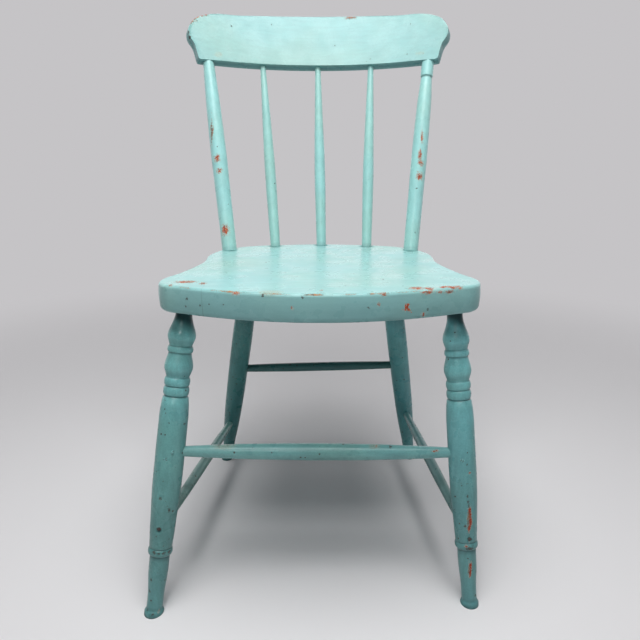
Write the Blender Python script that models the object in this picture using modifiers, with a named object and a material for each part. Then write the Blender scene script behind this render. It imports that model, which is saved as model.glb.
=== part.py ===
"""Old painted kitchen side chair: plank seat, turned legs, spindle back.

Metres, +Z up, the chair faces -Y. The chair stands on the floor at Z = 0, and the
origin is the middle of its footprint on the floor.
"""

import math

import bmesh
import bpy
from mathutils import Vector

# Seat plank. Places on the seat are measured from the middle of its front edge.
SEAT_TOP = 0.440            # height of the sitting face above the floor
SEAT_THICK = 0.036
SEAT_HALF_WIDTH = 0.2045    # at the front corners
SEAT_DEPTH = 0.396
SEAT_FRONT_BOW = 0.058      # how far the bowed front edge falls back at the corners
SEAT_CORNER_TURN = 0.017    # depth of the tight turn at each front corner
SEAT_WAIST_HALF = 0.1775    # half width where the sides draw in
SEAT_WAIST_Y = 0.205
SEAT_REAR_Y = 0.298         # where the rear corners begin to turn
SEAT_REAR_CORNER_X = 0.150
SEAT_REAR_CORNER_IN = 0.042  # the rear corner's distance in front of the rear edge
SEAT_REAR_BOW = 0.021       # how far the rear edge bulges behind its corners
SEAT_TOP_ROLL = 0.0045
SEAT_UNDER_ROLL = 0.007

# Back. The crest rail is bowed level, and its faces lean back with the posts.
CREST_MID_X = -0.0038       # the back stands a little to the left
CREST_MID_Y = 0.4709
CREST_BOTTOM_Z = 0.7459     # middle of the underside
CREST_LEAN = math.radians(20.7)
CREST_HEIGHT = 0.0918
CREST_THICK = 0.020
CREST_HALF_WIDTH = 0.2245
CREST_FOOT_HALF = 0.2075    # half width at the lower corners
CREST_BOW = 0.055           # how far the ends stand in front of the middle
CREST_END_RISE = 0.005      # how far the lower edge rises towards the ends
CREST_SHOULDER = 0.0495     # height of the widest point above the lower edge
CREST_FOOT_TURN = 0.0020    # size of the tight turn at each lower corner
CREST_WAIST_IN = 0.0100     # how far the ends draw in below the widest point,
CREST_WAIST_UP = 0.0297     # and the height where they do
CREST_EAR_IN = 0.0035       # how far the ends have drawn in on their way to the top corners
CREST_CORNER_IN = 0.0180    # the top corners' distance from the widest line,
CREST_CORNER_FALL = 0.0098  # and from the level of the top edge's middle
CREST_TOP_FALL = 0.0027     # how far the top edge has fallen before its corners begin
CREST_EDGE = 0.0014         # rounding of its long edges

POST_IN = 0.0233            # post centre from the seat's waist line
POST_FORE = 0.0706          # post centre in front of the seat's rear edge
POST_TOP_X = 0.1903         # from the middle of the rail
POST_FOOT_R = 0.0124
POST_SWELL = ((0.333, 0.0130), (0.533, 0.0134), (0.783, 0.0120))   # (share of length, radius)
POST_TOP_R = 0.0095
POST_CAP_R = 0.0105         # plain collar at the top of the right post only
POST_CAP_LENGTH = 0.026
POST_CAP_GROOVE = 0.0003    # depth of the fine groove under the collar
POST_CAP_NECK = 0.004       # where the post begins to draw in to that groove
POST_CAP_LIP = 0.0015       # length of the collar's slanting lower edge
POST_TENON_R = 0.0065

SPINDLE_BASE_X = (-0.0796, 0.0020, 0.0824)
SPINDLE_TOP_X = (-0.0988, -0.0008, 0.0936)   # from the middle of the rail
SPINDLE_FORE = 0.0145       # middle spindle's centre in front of the seat's rear edge
SPINDLE_ROW_BOW = 0.0130    # the outer spindles stand this much further forward
SPINDLE_FOOT_R = 0.0085
SPINDLE_SWELL = ((0.33, 0.0094), (0.50, 0.0091), (0.75, 0.0067))   # (share of length, radius)
SPINDLE_TOP_R = 0.0043
SPINDLE_NECK = 0.010        # straight length under the rail

# Legs. The splay is how far each foot stands (out, forward or back) from its top.
FRONT_LEG_IN = 0.0280       # from the seat's widest line
FRONT_LEG_BACK = 0.0892     # from the seat's front
REAR_LEG_IN = 0.0582        # from the seat's waist line
REAR_LEG_FORE = 0.0718      # from the seat's rear edge
FRONT_LEFT_SPLAY = (0.0468, 0.0927)
FRONT_RIGHT_SPLAY = (0.0306, 0.0755)
REAR_LEFT_SPLAY = (0.0716, 0.0738)
REAR_RIGHT_SPLAY = (0.0640, 0.0809)

# Front leg turnings. Those above the vase are placed down from the seat.
FRONT_TENON_R = 0.0110
FRONT_NECK_R = 0.0134
FRONT_BULB_R = 0.0183
FRONT_LOWER_BULB_R = 0.0186
FRONT_GROOVE_R = 0.0151
FRONT_RING_RISE = 0.0018    # how far the ring and beads stand out of their grooves
FRONT_SHOULDER_R = 0.0169
FRONT_BODY_R = 0.0190
FRONT_UPPER_BULB = (0.0135, 0.0232, 0.0391, 0.0522)   # tenon, neck, fullest, groove
FRONT_RING = (0.0537, 0.0622)
FRONT_LOWER_BULB = (0.0632, 0.0811, 0.0940)
FRONT_BEADS = ((0.0952, 0.1064), (0.1074, 0.1192))
FRONT_SHOULDER = (0.1204, 0.1217)
FRONT_VASE_TOP = ((0.1330, 0.0183), (0.1500, FRONT_BODY_R))

# Those below are placed up from the foot.
FRONT_VASE_END = ((0.1710, 0.0189), (0.1170, 0.0165), (0.0928, 0.0151))
FRONT_LOW_RING = (0.0917, 0.0822)
FRONT_LOW_GROOVE_R = 0.0140
FRONT_LOW_RING_R = 0.0162
FRONT_ANKLE = ((0.0812, 0.0132), (0.0545, 0.0128), (0.0290, 0.0109), (0.0065, 0.0106))
FRONT_FOOT_R = 0.0129
FRONT_FOOT_TOP = 0.0035     # where the pad foot is full
FRONT_RIGHT_GIRTH = 0.955   # the right leg was turned slimmer,
FRONT_RIGHT_DROP = 0.0045   # and its rings sit lower

# Rear leg turnings, down from the seat and then up from the foot
REAR_TENON_R = 0.0115
REAR_FOOT_R = 0.0106
REAR_UPPER = ((0.004, REAR_TENON_R), (0.040, 0.0155), (0.110, 0.0178), (0.190, 0.0177))
REAR_LOWER = ((0.145, 0.0167), (0.097, 0.0149), (0.042, 0.0113), (0.010, REAR_FOOT_R))

# Stretchers: the height on each leg's axis, and the radius at the ends and middle.
FRONT_STRETCHER_Z = (0.2147, 0.2094)
REAR_STRETCHER_Z = (0.2115, 0.2188)
LEFT_STRETCHER_Z = (0.1170, 0.0926)
RIGHT_STRETCHER_Z = (0.1035, 0.1140)
FRONT_STRETCHER_R = (0.0070, 0.0113)
REAR_STRETCHER_R = (0.0070, 0.0083)
SIDE_STRETCHER_R = (0.0060, 0.0082)
BARREL_POWER = 2.0          # how quickly a stretcher swells from its ends
STRETCHER_STRAIGHT = 0.020  # straight length at each end, inside the leg

# Nails through the front legs into the stretchers' ends. Each row gives the stretcher, the
# leg, the nail's bearing on the leg (degrees from straight ahead, turning to +X), how far
# its head lies below the stretcher's axis, how far it stands proud, and how far along the
# stretcher it is aimed.
NAILS = (
    ("front_stretcher", "front_leg_left", 18, -0.0082, 0.0004, 0.011),
    ("front_stretcher", "front_leg_left", -4, 0.0017, 0.0002, 0.0),
    ("front_stretcher", "front_leg_right", -11, 0.0015, 0.0004, 0.0),
    ("side_stretcher_left", "front_leg_left", -5, -0.0053, -0.0008, 0.0),
    ("side_stretcher_right", "front_leg_right", 9, 0.0055, -0.0004, 0.0),
)
NAIL_LENGTH = 0.030
NAIL_R = 0.00125
NAIL_HEAD_R = 0.0027
NAIL_HEAD_THICK = 0.0012

# Joints
GAP = 0.0003                # clearance all round every tenon and nail
SEAT_TENON = 0.023          # depth of every tenon in the seat
CREST_TENON = 0.022         # depth of every tenon in the crest rail
PAST_AXIS = 0.005           # how far a stretcher's end passes the leg's axis
OVERRUN = 0.008             # how far cutters and untrimmed ends run on
STRETCHER_HOLE_REACH = 0.030   # how far a stretcher's hole is cut from the leg's axis
FLOOR_CUTTER = (2.0, 2.0, 0.1)

LEG_SIDES = 18
POST_SIDES = 14
SPINDLE_SIDES = 12
STRETCHER_SIDES = 14
STRETCHER_ROWS = 4          # rows from a stretcher's middle to each end
NAIL_SIDES = 8
CREST_STRIPS = 15           # straight strips that make up the rail's bow

UNDERSIDE = SEAT_TOP - SEAT_THICK
SIDES = {"left": -1, "right": 1}


def clear_scene():
    for obj in list(bpy.data.objects):
        bpy.data.objects.remove(obj, do_unlink=True)


def new_collection(name):
    collection = bpy.data.collections.new(name)
    bpy.context.scene.collection.children.link(collection)
    return collection


def painted(name, shade=1.0):
    """Aged turquoise gloss paint; shade darkens it for the pieces under the seat."""
    return surface(name, [channel * shade for channel in (0.20, 0.60, 0.56)], 0.42, 0.0)


def surface(name, colour, roughness, metallic):
    material = bpy.data.materials.new(name)
    material.use_nodes = True
    shader = material.node_tree.nodes["Principled BSDF"]
    shader.inputs["Base Color"].default_value = (*colour, 1.0)
    shader.inputs["Roughness"].default_value = roughness
    shader.inputs["Metallic"].default_value = metallic
    return material


def place(name, mesh, start=Vector(), towards=None, material=None):
    """Add an object at start, its local +Z pointing towards another point."""
    obj = bpy.data.objects.new(name, mesh)
    obj.location = start
    if towards is not None:
        obj.rotation_mode = "QUATERNION"
        obj.rotation_quaternion = (towards - start).to_track_quat("Z", "Y")
    obj.parent = STAND
    if material is None:
        obj.hide_render = True
        obj.display_type = "WIRE"
        CUTTERS.objects.link(obj)
    else:
        mesh.materials.append(material)
        CHAIR.objects.link(obj)
    return obj


def turned(name, profile, start, towards, sides, material=None):
    """Lathe a profile of (distance from start, radius) pairs about its axis."""
    rows = [(profile[0][0], 0.0)] + list(profile) + [(profile[-1][0], 0.0)]
    rows.reverse()
    mesh = bpy.data.meshes.new(name)
    mesh.from_pydata([(r, 0.0, z) for z, r in rows], [(i, i + 1) for i in range(len(rows) - 1)], [])
    obj = place(name, mesh, start, towards, material)
    screw = obj.modifiers.new("lathe", "SCREW")
    screw.steps = screw.render_steps = sides
    screw.use_merge_vertices = True
    screw.merge_threshold = 0.00001
    return obj


def rod(name, radius, start, towards, first, last, sides):
    """A plain round cutter or tenon between two distances along an axis."""
    return turned(name, [(first, radius), (last, radius)], start, towards, sides)


def cut(obj, cutter, operation="DIFFERENCE"):
    boolean = obj.modifiers.new(cutter.name, "BOOLEAN")
    boolean.operation = operation
    boolean.solver = "EXACT"
    boolean.object = cutter


def blend(points, count):
    """Ease smoothly through (distance, radius) points with count steps in each stretch."""
    out = []
    for i in range(len(points) - 1):
        (z1, r1), (z2, r2) = points[i], points[i + 1]
        before = points[max(i - 1, 0)]
        after = points[min(i + 2, len(points) - 1)]
        slope1 = (r2 - before[1]) / (z2 - before[0])
        slope2 = (after[1] - r1) / (after[0] - z1)
        for k in range(count):
            t = k / count
            span = z2 - z1
            ease = (2 * t**3 - 3 * t**2 + 1) * r1 + (3 * t**2 - 2 * t**3) * r2
            bend = (t**3 - 2 * t**2 + t) * slope1 * span + (t**3 - t**2) * slope2 * span
            out.append((z1 + t * span, ease + bend))
    return out + [points[-1]]


def bead(first, last, groove, crown, count=3):
    """A half-round ring between two grooves."""
    out = []
    for k in range(count + 1):
        angle = math.pi * k / count
        z = (first + last) / 2 - (last - first) / 2 * math.cos(angle)
        out.append((z, groove + (crown - groove) * math.sin(angle)))
    return out


def radius_at(profile, distance):
    for (z1, r1), (z2, r2) in zip(profile, profile[1:]):
        if z1 <= distance <= z2 and z2 > z1:
            return r1 + (r2 - r1) * (distance - z1) / (z2 - z1)
    return profile[-1][1]


def flat_outline(name, half, thick, steps):
    """A closed curve through half an outline and its mirror image, as a solid mesh."""
    curve = bpy.data.curves.new(name, "CURVE")
    curve.dimensions = "2D"
    curve.fill_mode = "BOTH"
    curve.extrude = thick / 2
    curve.resolution_u = steps
    mirror = [(-x, y) for x, y in reversed(half) if x > 0]
    points = list(half) + mirror
    spline = curve.splines.new("BEZIER")
    spline.bezier_points.add(len(points) - 1)
    spline.use_cyclic_u = True
    for knot, (x, y) in zip(spline.bezier_points, points):
        knot.co = (x, y, 0.0)
        knot.handle_left_type = knot.handle_right_type = "AUTO"
    source = bpy.data.objects.new(name, curve)
    CUTTERS.objects.link(source)
    view = bpy.context.evaluated_depsgraph_get()
    mesh = bpy.data.meshes.new_from_object(source.evaluated_get(view))
    bpy.data.objects.remove(source, do_unlink=True)
    solid = bmesh.new()
    solid.from_mesh(mesh)
    bmesh.ops.remove_doubles(solid, verts=solid.verts, dist=0.00001)
    bmesh.ops.dissolve_limit(solid, angle_limit=0.001, verts=solid.verts, edges=solid.edges)
    bmesh.ops.recalc_face_normals(solid, faces=solid.faces)
    solid.to_mesh(mesh)
    solid.free()
    return mesh


def seat_outline():
    """Half the seat's edge, from the middle of the front round to the middle of the rear."""
    wide = SEAT_HALF_WIDTH
    front = [(wide * k, SEAT_FRONT_BOW * k**2) for k in (0.0, 0.3, 0.6, 0.82, 0.95)]
    corner_y = SEAT_FRONT_BOW + SEAT_CORNER_TURN
    half_way = corner_y + 0.42 * (SEAT_WAIST_Y - corner_y)
    side = [
        (wide, corner_y),
        ((wide + SEAT_WAIST_HALF) / 2, half_way),
        (SEAT_WAIST_HALF, SEAT_WAIST_Y),
        (SEAT_WAIST_HALF, SEAT_REAR_Y),
    ]
    rear = [
        (SEAT_REAR_CORNER_X, SEAT_DEPTH - SEAT_REAR_CORNER_IN),
        (SEAT_REAR_CORNER_X * 0.78, SEAT_DEPTH - SEAT_REAR_BOW),
        (SEAT_REAR_CORNER_X * 0.38, SEAT_DEPTH - SEAT_REAR_BOW * 0.27),
        (0.0, SEAT_DEPTH),
    ]
    return front + side + rear


def make_seat():
    """One plank with a bowed front, drawn-in sides and rounded edges."""
    mesh = flat_outline("seat", seat_outline(), SEAT_THICK, 3)
    seat = place("seat", mesh, Vector((0, 0, SEAT_TOP - SEAT_THICK / 2)), material=painted("seat_paint"))
    weights = mesh.attributes.new("bevel_weight_edge", "FLOAT", "EDGE")
    for edge in mesh.edges:
        levels = {round(mesh.vertices[v].co.z, 5) for v in edge.vertices}
        if len(levels) == 1:
            weights.data[edge.index].value = SEAT_TOP_ROLL / SEAT_UNDER_ROLL if levels.pop() > 0 else 1.0
    roll = seat.modifiers.new("rolled edges", "BEVEL")
    roll.limit_method = "WEIGHT"
    roll.width = SEAT_UNDER_ROLL
    roll.segments = 2
    return seat


def crest_outline():
    """Half the rail's face: x outwards, y up its slant from the middle of the underside."""
    wide = CREST_HALF_WIDTH
    foot = CREST_FOOT_HALF
    top = CREST_HEIGHT
    turn = top - CREST_SHOULDER
    return [
        (0.0, 0.0),
        (foot * 0.5, CREST_END_RISE * 0.2),
        (foot * 0.85, CREST_END_RISE * 0.7),
        (foot - CREST_FOOT_TURN, CREST_END_RISE),
        (foot, CREST_END_RISE + CREST_FOOT_TURN),
        (wide - CREST_WAIST_IN, CREST_WAIST_UP),
        (wide, CREST_SHOULDER),
        (wide - CREST_EAR_IN, CREST_SHOULDER + turn * 0.45),
        (wide - CREST_CORNER_IN, top - CREST_CORNER_FALL),
        (wide * 0.60, top - CREST_TOP_FALL),
        (wide * 0.30, top - CREST_TOP_FALL * 0.2),
        (0.0, top),
    ]


def crest_mesh(name, thick):
    """The rail's flat face cut into upright strips, then bowed level to the front."""
    mesh = flat_outline(name, crest_outline(), thick, 3)
    solid = bmesh.new()
    solid.from_mesh(mesh)
    for k in range(1, CREST_STRIPS):
        x = CREST_HALF_WIDTH * (2 * k / CREST_STRIPS - 1)
        everything = solid.verts[:] + solid.edges[:] + solid.faces[:]
        bmesh.ops.bisect_plane(solid, geom=everything, dist=0.0002, plane_co=(x, 0, 0), plane_no=(1, 0, 0))
    for vert in solid.verts:
        vert.co = bowed(vert.co.x, vert.co.y, vert.co.z)
    solid.to_mesh(mesh)
    solid.free()
    return mesh


def crest_bow(x):
    return CREST_BOW * (x / CREST_HALF_WIDTH) ** 2


def bowed(x, up, out):
    """Where bowing takes a point of the flat rail; its thickness stays square to the bow."""
    slope = 2 * CREST_BOW * x / CREST_HALF_WIDTH**2 * math.cos(CREST_LEAN)
    level = Vector((0, -math.sin(CREST_LEAN), math.cos(CREST_LEAN)))
    return Vector((x, up, 0)) + level * crest_bow(x) + Vector((-slope, 0, 1)).normalized() * out


def crest_seat_point(x):
    """The middle of the rail's underside at a place along it."""
    rise = CREST_END_RISE * (x / CREST_HALF_WIDTH) ** 2
    y = CREST_MID_Y + rise * math.sin(CREST_LEAN) - crest_bow(x)
    return Vector((CREST_MID_X + x, y, CREST_BOTTOM_Z + rise * math.cos(CREST_LEAN)))


def place_crest(name, thick, down=0.0, material=None):
    slant = Vector((0, math.sin(CREST_LEAN), math.cos(CREST_LEAN)))
    start = Vector((CREST_MID_X, CREST_MID_Y, CREST_BOTTOM_Z)) - slant * down
    crest = place(name, crest_mesh(name, thick), start, material=material)
    crest.rotation_euler.x = math.pi / 2 - CREST_LEAN
    return crest


def make_crest():
    crest = place_crest("crest_rail", CREST_THICK, material=painted("crest_paint"))
    edge = crest.modifiers.new("eased edges", "BEVEL")
    edge.limit_method = "ANGLE"
    edge.angle_limit = math.radians(50)
    edge.width = CREST_EDGE
    edge.segments = 2
    return crest


def post_profile(length, capped):
    body = [(-SEAT_TENON, POST_FOOT_R), (0.0, POST_FOOT_R)]
    body += [(share * length, radius) for share, radius in POST_SWELL]
    if not capped:
        return blend(body + [(length, POST_TOP_R), (length + OVERRUN, POST_TOP_R)], 2)
    cap = length - POST_CAP_LENGTH
    neck = [(cap - POST_CAP_NECK, POST_TOP_R), (cap, POST_TOP_R - POST_CAP_GROOVE)]
    collar = [(cap + POST_CAP_LIP, POST_CAP_R), (length + OVERRUN, POST_CAP_R)]
    return blend(body + neck, 2) + collar


def make_posts(seat, crest):
    """Two outer posts, shouldered against the rail's underside, with a round tenon."""
    shoulder = place_crest("crest_shoulder_cut", CREST_THICK * 3, down=GAP)
    for side, sign in SIDES.items():
        name = "back_post_" + side
        base = Vector((sign * (SEAT_WAIST_HALF - POST_IN), SEAT_DEPTH - POST_FORE, SEAT_TOP))
        top = crest_seat_point(sign * POST_TOP_X)
        length = (top - base).length
        profile = post_profile(length, side == "right")
        post = turned(name, profile, base, top, POST_SIDES, painted(name + "_paint", 0.9))
        cut(post, shoulder)
        end = length + CREST_TENON
        tenon = rod(name + "_tenon", POST_TENON_R, base, top, length - OVERRUN, end, POST_SIDES)
        cut(post, tenon, "UNION")
        foot_r = POST_FOOT_R + GAP
        foot = rod(name + "_foot_cut", foot_r, base, top, -SEAT_TENON - GAP, OVERRUN, POST_SIDES)
        cut(seat, foot)
        socket = rod(name + "_top_cut", POST_TENON_R + GAP, base, top, length - OVERRUN, end + GAP, POST_SIDES)
        cut(crest, socket)


def spindle_profile(length):
    body = [(-SEAT_TENON, SPINDLE_FOOT_R), (0.0, SPINDLE_FOOT_R)]
    body += [(share * length, radius) for share, radius in SPINDLE_SWELL]
    body += [(length - SPINDLE_NECK, SPINDLE_TOP_R)]
    return blend(body, 2) + [(length + CREST_TENON, SPINDLE_TOP_R)]


def make_spindles(seat, crest):
    """Three slim spindles, tapering upwards, let into the seat and the rail."""
    outer = max(SPINDLE_BASE_X)
    for side, base_x, top_x in zip(("left", "centre", "right"), SPINDLE_BASE_X, SPINDLE_TOP_X):
        name = "spindle_" + side
        fore = SPINDLE_FORE + SPINDLE_ROW_BOW * (base_x / outer) ** 2
        base = Vector((base_x, SEAT_DEPTH - fore, SEAT_TOP))
        top = crest_seat_point(top_x)
        length = (top - base).length
        turned(name, spindle_profile(length), base, top, SPINDLE_SIDES, painted(name + "_paint", 0.9))
        foot_r = SPINDLE_FOOT_R + GAP
        foot = rod(name + "_foot_cut", foot_r, base, top, -SEAT_TENON - GAP, OVERRUN, SPINDLE_SIDES)
        cut(seat, foot)
        end = length + CREST_TENON + GAP
        socket = rod(name + "_top_cut", SPINDLE_TOP_R + GAP, base, top, length - OVERRUN, end, SPINDLE_SIDES)
        cut(crest, socket)


def front_leg_profile(length, drop, girth):
    """Tenon, neck, bulb, ring, bulb, two beads, long vase, low ring, ankle and pad foot.

    The upper turnings are measured down from the seat and the lower ones up from the
    floor, so only the vase between them stretches with the leg.
    """
    groove = FRONT_GROOVE_R
    crown = groove + FRONT_RING_RISE
    upper_radii = (FRONT_TENON_R, FRONT_NECK_R, FRONT_BULB_R, groove)
    rows = blend(list(zip(FRONT_UPPER_BULB, upper_radii)), 2)
    rows += bead(*FRONT_RING, groove, crown)
    rows += blend(list(zip(FRONT_LOWER_BULB, (groove, FRONT_LOWER_BULB_R, groove))), 3)
    for first, last in FRONT_BEADS:
        rows += bead(first, last, groove, crown)
    rows += list(zip(FRONT_SHOULDER, (groove, FRONT_SHOULDER_R)))
    low = length - drop
    rows += blend(list(FRONT_VASE_TOP) + [(low - up, r) for up, r in FRONT_VASE_END], 2)
    ring_start, ring_end = (low - up for up in FRONT_LOW_RING)
    rows += bead(ring_start, ring_end, FRONT_LOW_GROOVE_R, FRONT_LOW_RING_R)
    rows += blend([(low - up, r) for up, r in FRONT_ANKLE], 2)
    rows += [(low - FRONT_FOOT_TOP, FRONT_FOOT_R), (low + OVERRUN, FRONT_FOOT_R)]
    shaped = [(z + drop, r * girth) for z, r in rows]
    return [(-SEAT_TENON, FRONT_TENON_R), (0.0, FRONT_TENON_R)] + shaped


def rear_leg_profile(length):
    """Plain turned leg, fullest above the middle and tapering to the foot."""
    shaped = blend(list(REAR_UPPER) + [(length - up, r) for up, r in REAR_LOWER], 2)
    return [(-SEAT_TENON, REAR_TENON_R)] + shaped + [(length + OVERRUN, REAR_FOOT_R)]


def leg_ends():
    """Each leg's name with its point on the seat's underside and its point on the floor."""
    front_x = SEAT_HALF_WIDTH - FRONT_LEG_IN
    rear_x = SEAT_WAIST_HALF - REAR_LEG_IN
    rear_y = SEAT_DEPTH - REAR_LEG_FORE
    rows = (
        ("front_leg_left", -front_x, FRONT_LEG_BACK, -1, FRONT_LEFT_SPLAY),
        ("front_leg_right", front_x, FRONT_LEG_BACK, -1, FRONT_RIGHT_SPLAY),
        ("rear_leg_left", -rear_x, rear_y, 1, REAR_LEFT_SPLAY),
        ("rear_leg_right", rear_x, rear_y, 1, REAR_RIGHT_SPLAY),
    )
    ends = {}
    for name, x, y, way, (out, along) in rows:
        foot = Vector((x + math.copysign(out, x), y + way * along, 0.0))
        ends[name] = (Vector((x, y, UNDERSIDE)), foot)
    return ends


def leg_point(leg, height):
    """The point of a leg's axis at a height above the floor."""
    top, foot = LEG_ENDS[leg]
    return foot.lerp(top, height / UNDERSIDE)


def make_legs(seat):
    """Four raked legs, tenoned into blind sockets and cut level at the floor."""
    bpy.ops.mesh.primitive_cube_add(size=1.0)
    floor = place("floor_cut", bpy.context.object.data)
    bpy.data.objects.remove(bpy.context.object, do_unlink=True)
    floor.scale = FLOOR_CUTTER
    floor.location.z = -FLOOR_CUTTER[2] / 2
    legs = {}
    for name, (top, foot) in LEG_ENDS.items():
        length = (foot - top).length
        if name.startswith("rear"):
            profile = rear_leg_profile(length)
            tenon_r = REAR_TENON_R
        else:
            slim = name.endswith("right")
            drop = FRONT_RIGHT_DROP if slim else 0.0
            profile = front_leg_profile(length, drop, FRONT_RIGHT_GIRTH if slim else 1.0)
            tenon_r = FRONT_TENON_R
        leg = turned(name, profile, top, foot, LEG_SIDES, painted(name + "_paint", 0.75))
        cut(leg, floor)
        depth = -SEAT_TENON - GAP
        socket = rod(name + "_cut", tenon_r + GAP, top, foot, depth, OVERRUN, LEG_SIDES)
        cut(seat, socket)
        legs[name] = (leg, profile)
    return legs


def stretcher_profile(length, end_r, middle_r):
    """Straight inside the legs, swelling to the middle between them."""
    half = length / 2
    rows = [(-PAST_AXIS, end_r)]
    for k in range(-STRETCHER_ROWS, STRETCHER_ROWS + 1):
        share = k / STRETCHER_ROWS
        radius = middle_r - (middle_r - end_r) * abs(share) ** BARREL_POWER
        rows.append((half + (half - STRETCHER_STRAIGHT) * share, radius))
    return rows + [(length + PAST_AXIS, end_r)]


def make_stretchers(legs):
    """Front, rear and side stretchers, their ends let into blind holes in the legs."""
    rows = (
        ("front_stretcher", "front_leg_left", "front_leg_right", FRONT_STRETCHER_Z, FRONT_STRETCHER_R),
        ("rear_stretcher", "rear_leg_left", "rear_leg_right", REAR_STRETCHER_Z, REAR_STRETCHER_R),
        ("side_stretcher_left", "front_leg_left", "rear_leg_left", LEFT_STRETCHER_Z, SIDE_STRETCHER_R),
        ("side_stretcher_right", "front_leg_right", "rear_leg_right", RIGHT_STRETCHER_Z, SIDE_STRETCHER_R),
    )
    stretchers = {}
    for name, first_leg, last_leg, heights, (end_r, middle_r) in rows:
        first = leg_point(first_leg, heights[0])
        last = leg_point(last_leg, heights[1])
        length = (last - first).length
        profile = stretcher_profile(length, end_r, middle_r)
        piece = turned(name, profile, first, last, STRETCHER_SIDES, painted(name + "_paint", 0.75))
        deep = PAST_AXIS + GAP
        reach = STRETCHER_HOLE_REACH
        hole_r = end_r + GAP
        near = rod(name + "_first_cut", hole_r, first, last, -deep, reach, STRETCHER_SIDES)
        far = rod(name + "_last_cut", hole_r, first, last, length - reach, length + deep, STRETCHER_SIDES)
        cut(legs[first_leg][0], near)
        cut(legs[last_leg][0], far)
        stretchers[name] = (piece, {first_leg: (first, last), last_leg: (last, first)})
    return stretchers


def nail_profile(grow, start):
    """A flat-headed nail from its head's outer face, or its hole when grown."""
    step = NAIL_HEAD_THICK + grow
    return [
        (start, NAIL_HEAD_R + grow), (step, NAIL_HEAD_R + grow),
        (step, NAIL_R + grow), (NAIL_LENGTH + grow, NAIL_R + grow),
    ]


def make_nails(legs, stretchers):
    """Flat-headed nails, each in its own hole through the leg and into the stretcher."""
    for number, (stretcher, leg, bearing, drop, proud, aim) in enumerate(NAILS, 1):
        piece, ends = stretchers[stretcher]
        joint, other = ends[leg]
        body, profile = legs[leg]
        top, foot = LEG_ENDS[leg]
        centre = leg_point(leg, joint.z - drop)
        out = Vector((math.sin(math.radians(bearing)), -math.cos(math.radians(bearing)), 0.0))
        lean = out.dot((foot - top).normalized())
        radius = radius_at(profile, (centre - top).length) / math.sqrt(1 - lean**2)
        skin = centre + out * radius
        target = joint + (other - joint).normalized() * aim
        head = skin - (target - skin).normalized() * proud
        name = "nail_%d" % number
        steel = surface(name + "_steel", (0.24, 0.25, 0.24), 0.5, 0.6)
        turned(name, nail_profile(0.0, 0.0), head, target, NAIL_SIDES, steel)
        hole = turned(name + "_cut", nail_profile(GAP, -OVERRUN), head, target, NAIL_SIDES)
        cut(body, hole)
        cut(piece, hole)


def footprint_middle():
    """The middle of the chair's extent, left to right and front to back."""
    left = LEG_ENDS["front_leg_left"][1].x - FRONT_FOOT_R
    right = CREST_MID_X + bowed(CREST_HALF_WIDTH, 0.0, -CREST_THICK / 2).x
    front = LEG_ENDS["front_leg_left"][1].y - FRONT_FOOT_R
    crest_back = CREST_MID_Y + CREST_HEIGHT * math.sin(CREST_LEAN) + CREST_THICK / 2
    return Vector(((left + right) / 2, (front + crest_back) / 2, 0.0))


clear_scene()
CHAIR = new_collection("peeling_paint_chair")
CUTTERS = new_collection("cutters")
LEG_ENDS = leg_ends()
STAND = bpy.data.objects.new("chair", None)
STAND.location = -footprint_middle()
CHAIR.objects.link(STAND)

seat_plank = make_seat()
crest_rail = make_crest()
make_posts(seat_plank, crest_rail)
make_spindles(seat_plank, crest_rail)
turned_legs = make_legs(seat_plank)
turned_stretchers = make_stretchers(turned_legs)
make_nails(turned_legs, turned_stretchers)
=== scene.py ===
"""Looks of an old painted kitchen side chair: turquoise paint flaking off an orange-red coat.

Places are in metres from the middle of the seat's front edge, on the floor, and are moved
into the part's frame as they are used. The chair faces -Y.
"""

import math

import bpy
import numpy as np
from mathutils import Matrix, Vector


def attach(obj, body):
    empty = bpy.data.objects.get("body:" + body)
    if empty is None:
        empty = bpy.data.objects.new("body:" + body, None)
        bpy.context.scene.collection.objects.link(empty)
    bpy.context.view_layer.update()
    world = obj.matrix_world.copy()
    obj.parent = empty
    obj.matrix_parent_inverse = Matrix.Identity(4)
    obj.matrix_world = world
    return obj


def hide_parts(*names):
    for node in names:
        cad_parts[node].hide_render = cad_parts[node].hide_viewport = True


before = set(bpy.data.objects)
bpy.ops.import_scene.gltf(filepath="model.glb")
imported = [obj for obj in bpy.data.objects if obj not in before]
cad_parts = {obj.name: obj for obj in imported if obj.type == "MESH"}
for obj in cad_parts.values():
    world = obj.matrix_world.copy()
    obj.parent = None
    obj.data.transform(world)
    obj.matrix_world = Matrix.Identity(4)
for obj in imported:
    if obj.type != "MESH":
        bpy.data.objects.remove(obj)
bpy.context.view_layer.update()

ORIGIN = Vector((0.00567, -0.24847, 0.0))   # the seat's front middle in the part's frame

# Seat plank
SEAT_TOP = 0.440
SEAT_THICK = 0.036
SEAT_HALF_WIDTH = 0.2045
SEAT_DEPTH = 0.396
SEAT_FRONT_BOW = 0.058
SEAT_CORNER_TURN = 0.017
SEAT_WAIST_HALF = 0.1775
SEAT_WAIST_Y = 0.205
SEAT_REAR_Y = 0.298
SEAT_REAR_CORNER_X = 0.150
SEAT_REAR_CORNER_IN = 0.042
SEAT_REAR_BOW = 0.021
SEAT_TOP_ROLL = 0.0045
SEAT_UNDER_ROLL = 0.007
SEAT_FULL = 0.0006          # how far the edge's face is fuller in its middle
SEAT_CENTRE = (0.0, 0.200)
SEAT_FRONT_ZONE = 0.09      # in front of it, the outline's points are closer
SEAT_SPACING = (0.0014, 0.004)
SEAT_ROLL_ROWS = 7
SEAT_CRACK_X = -0.1400      # fine upright crack in the front edge
SEAT_CRACK_BACK = 0.045     # it ends at this line
SEAT_CRACK_WIDTHS = (0.00042, 0.00018)   # half widths at the foot and near the top
UNDERSIDE = SEAT_TOP - SEAT_THICK

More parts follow.
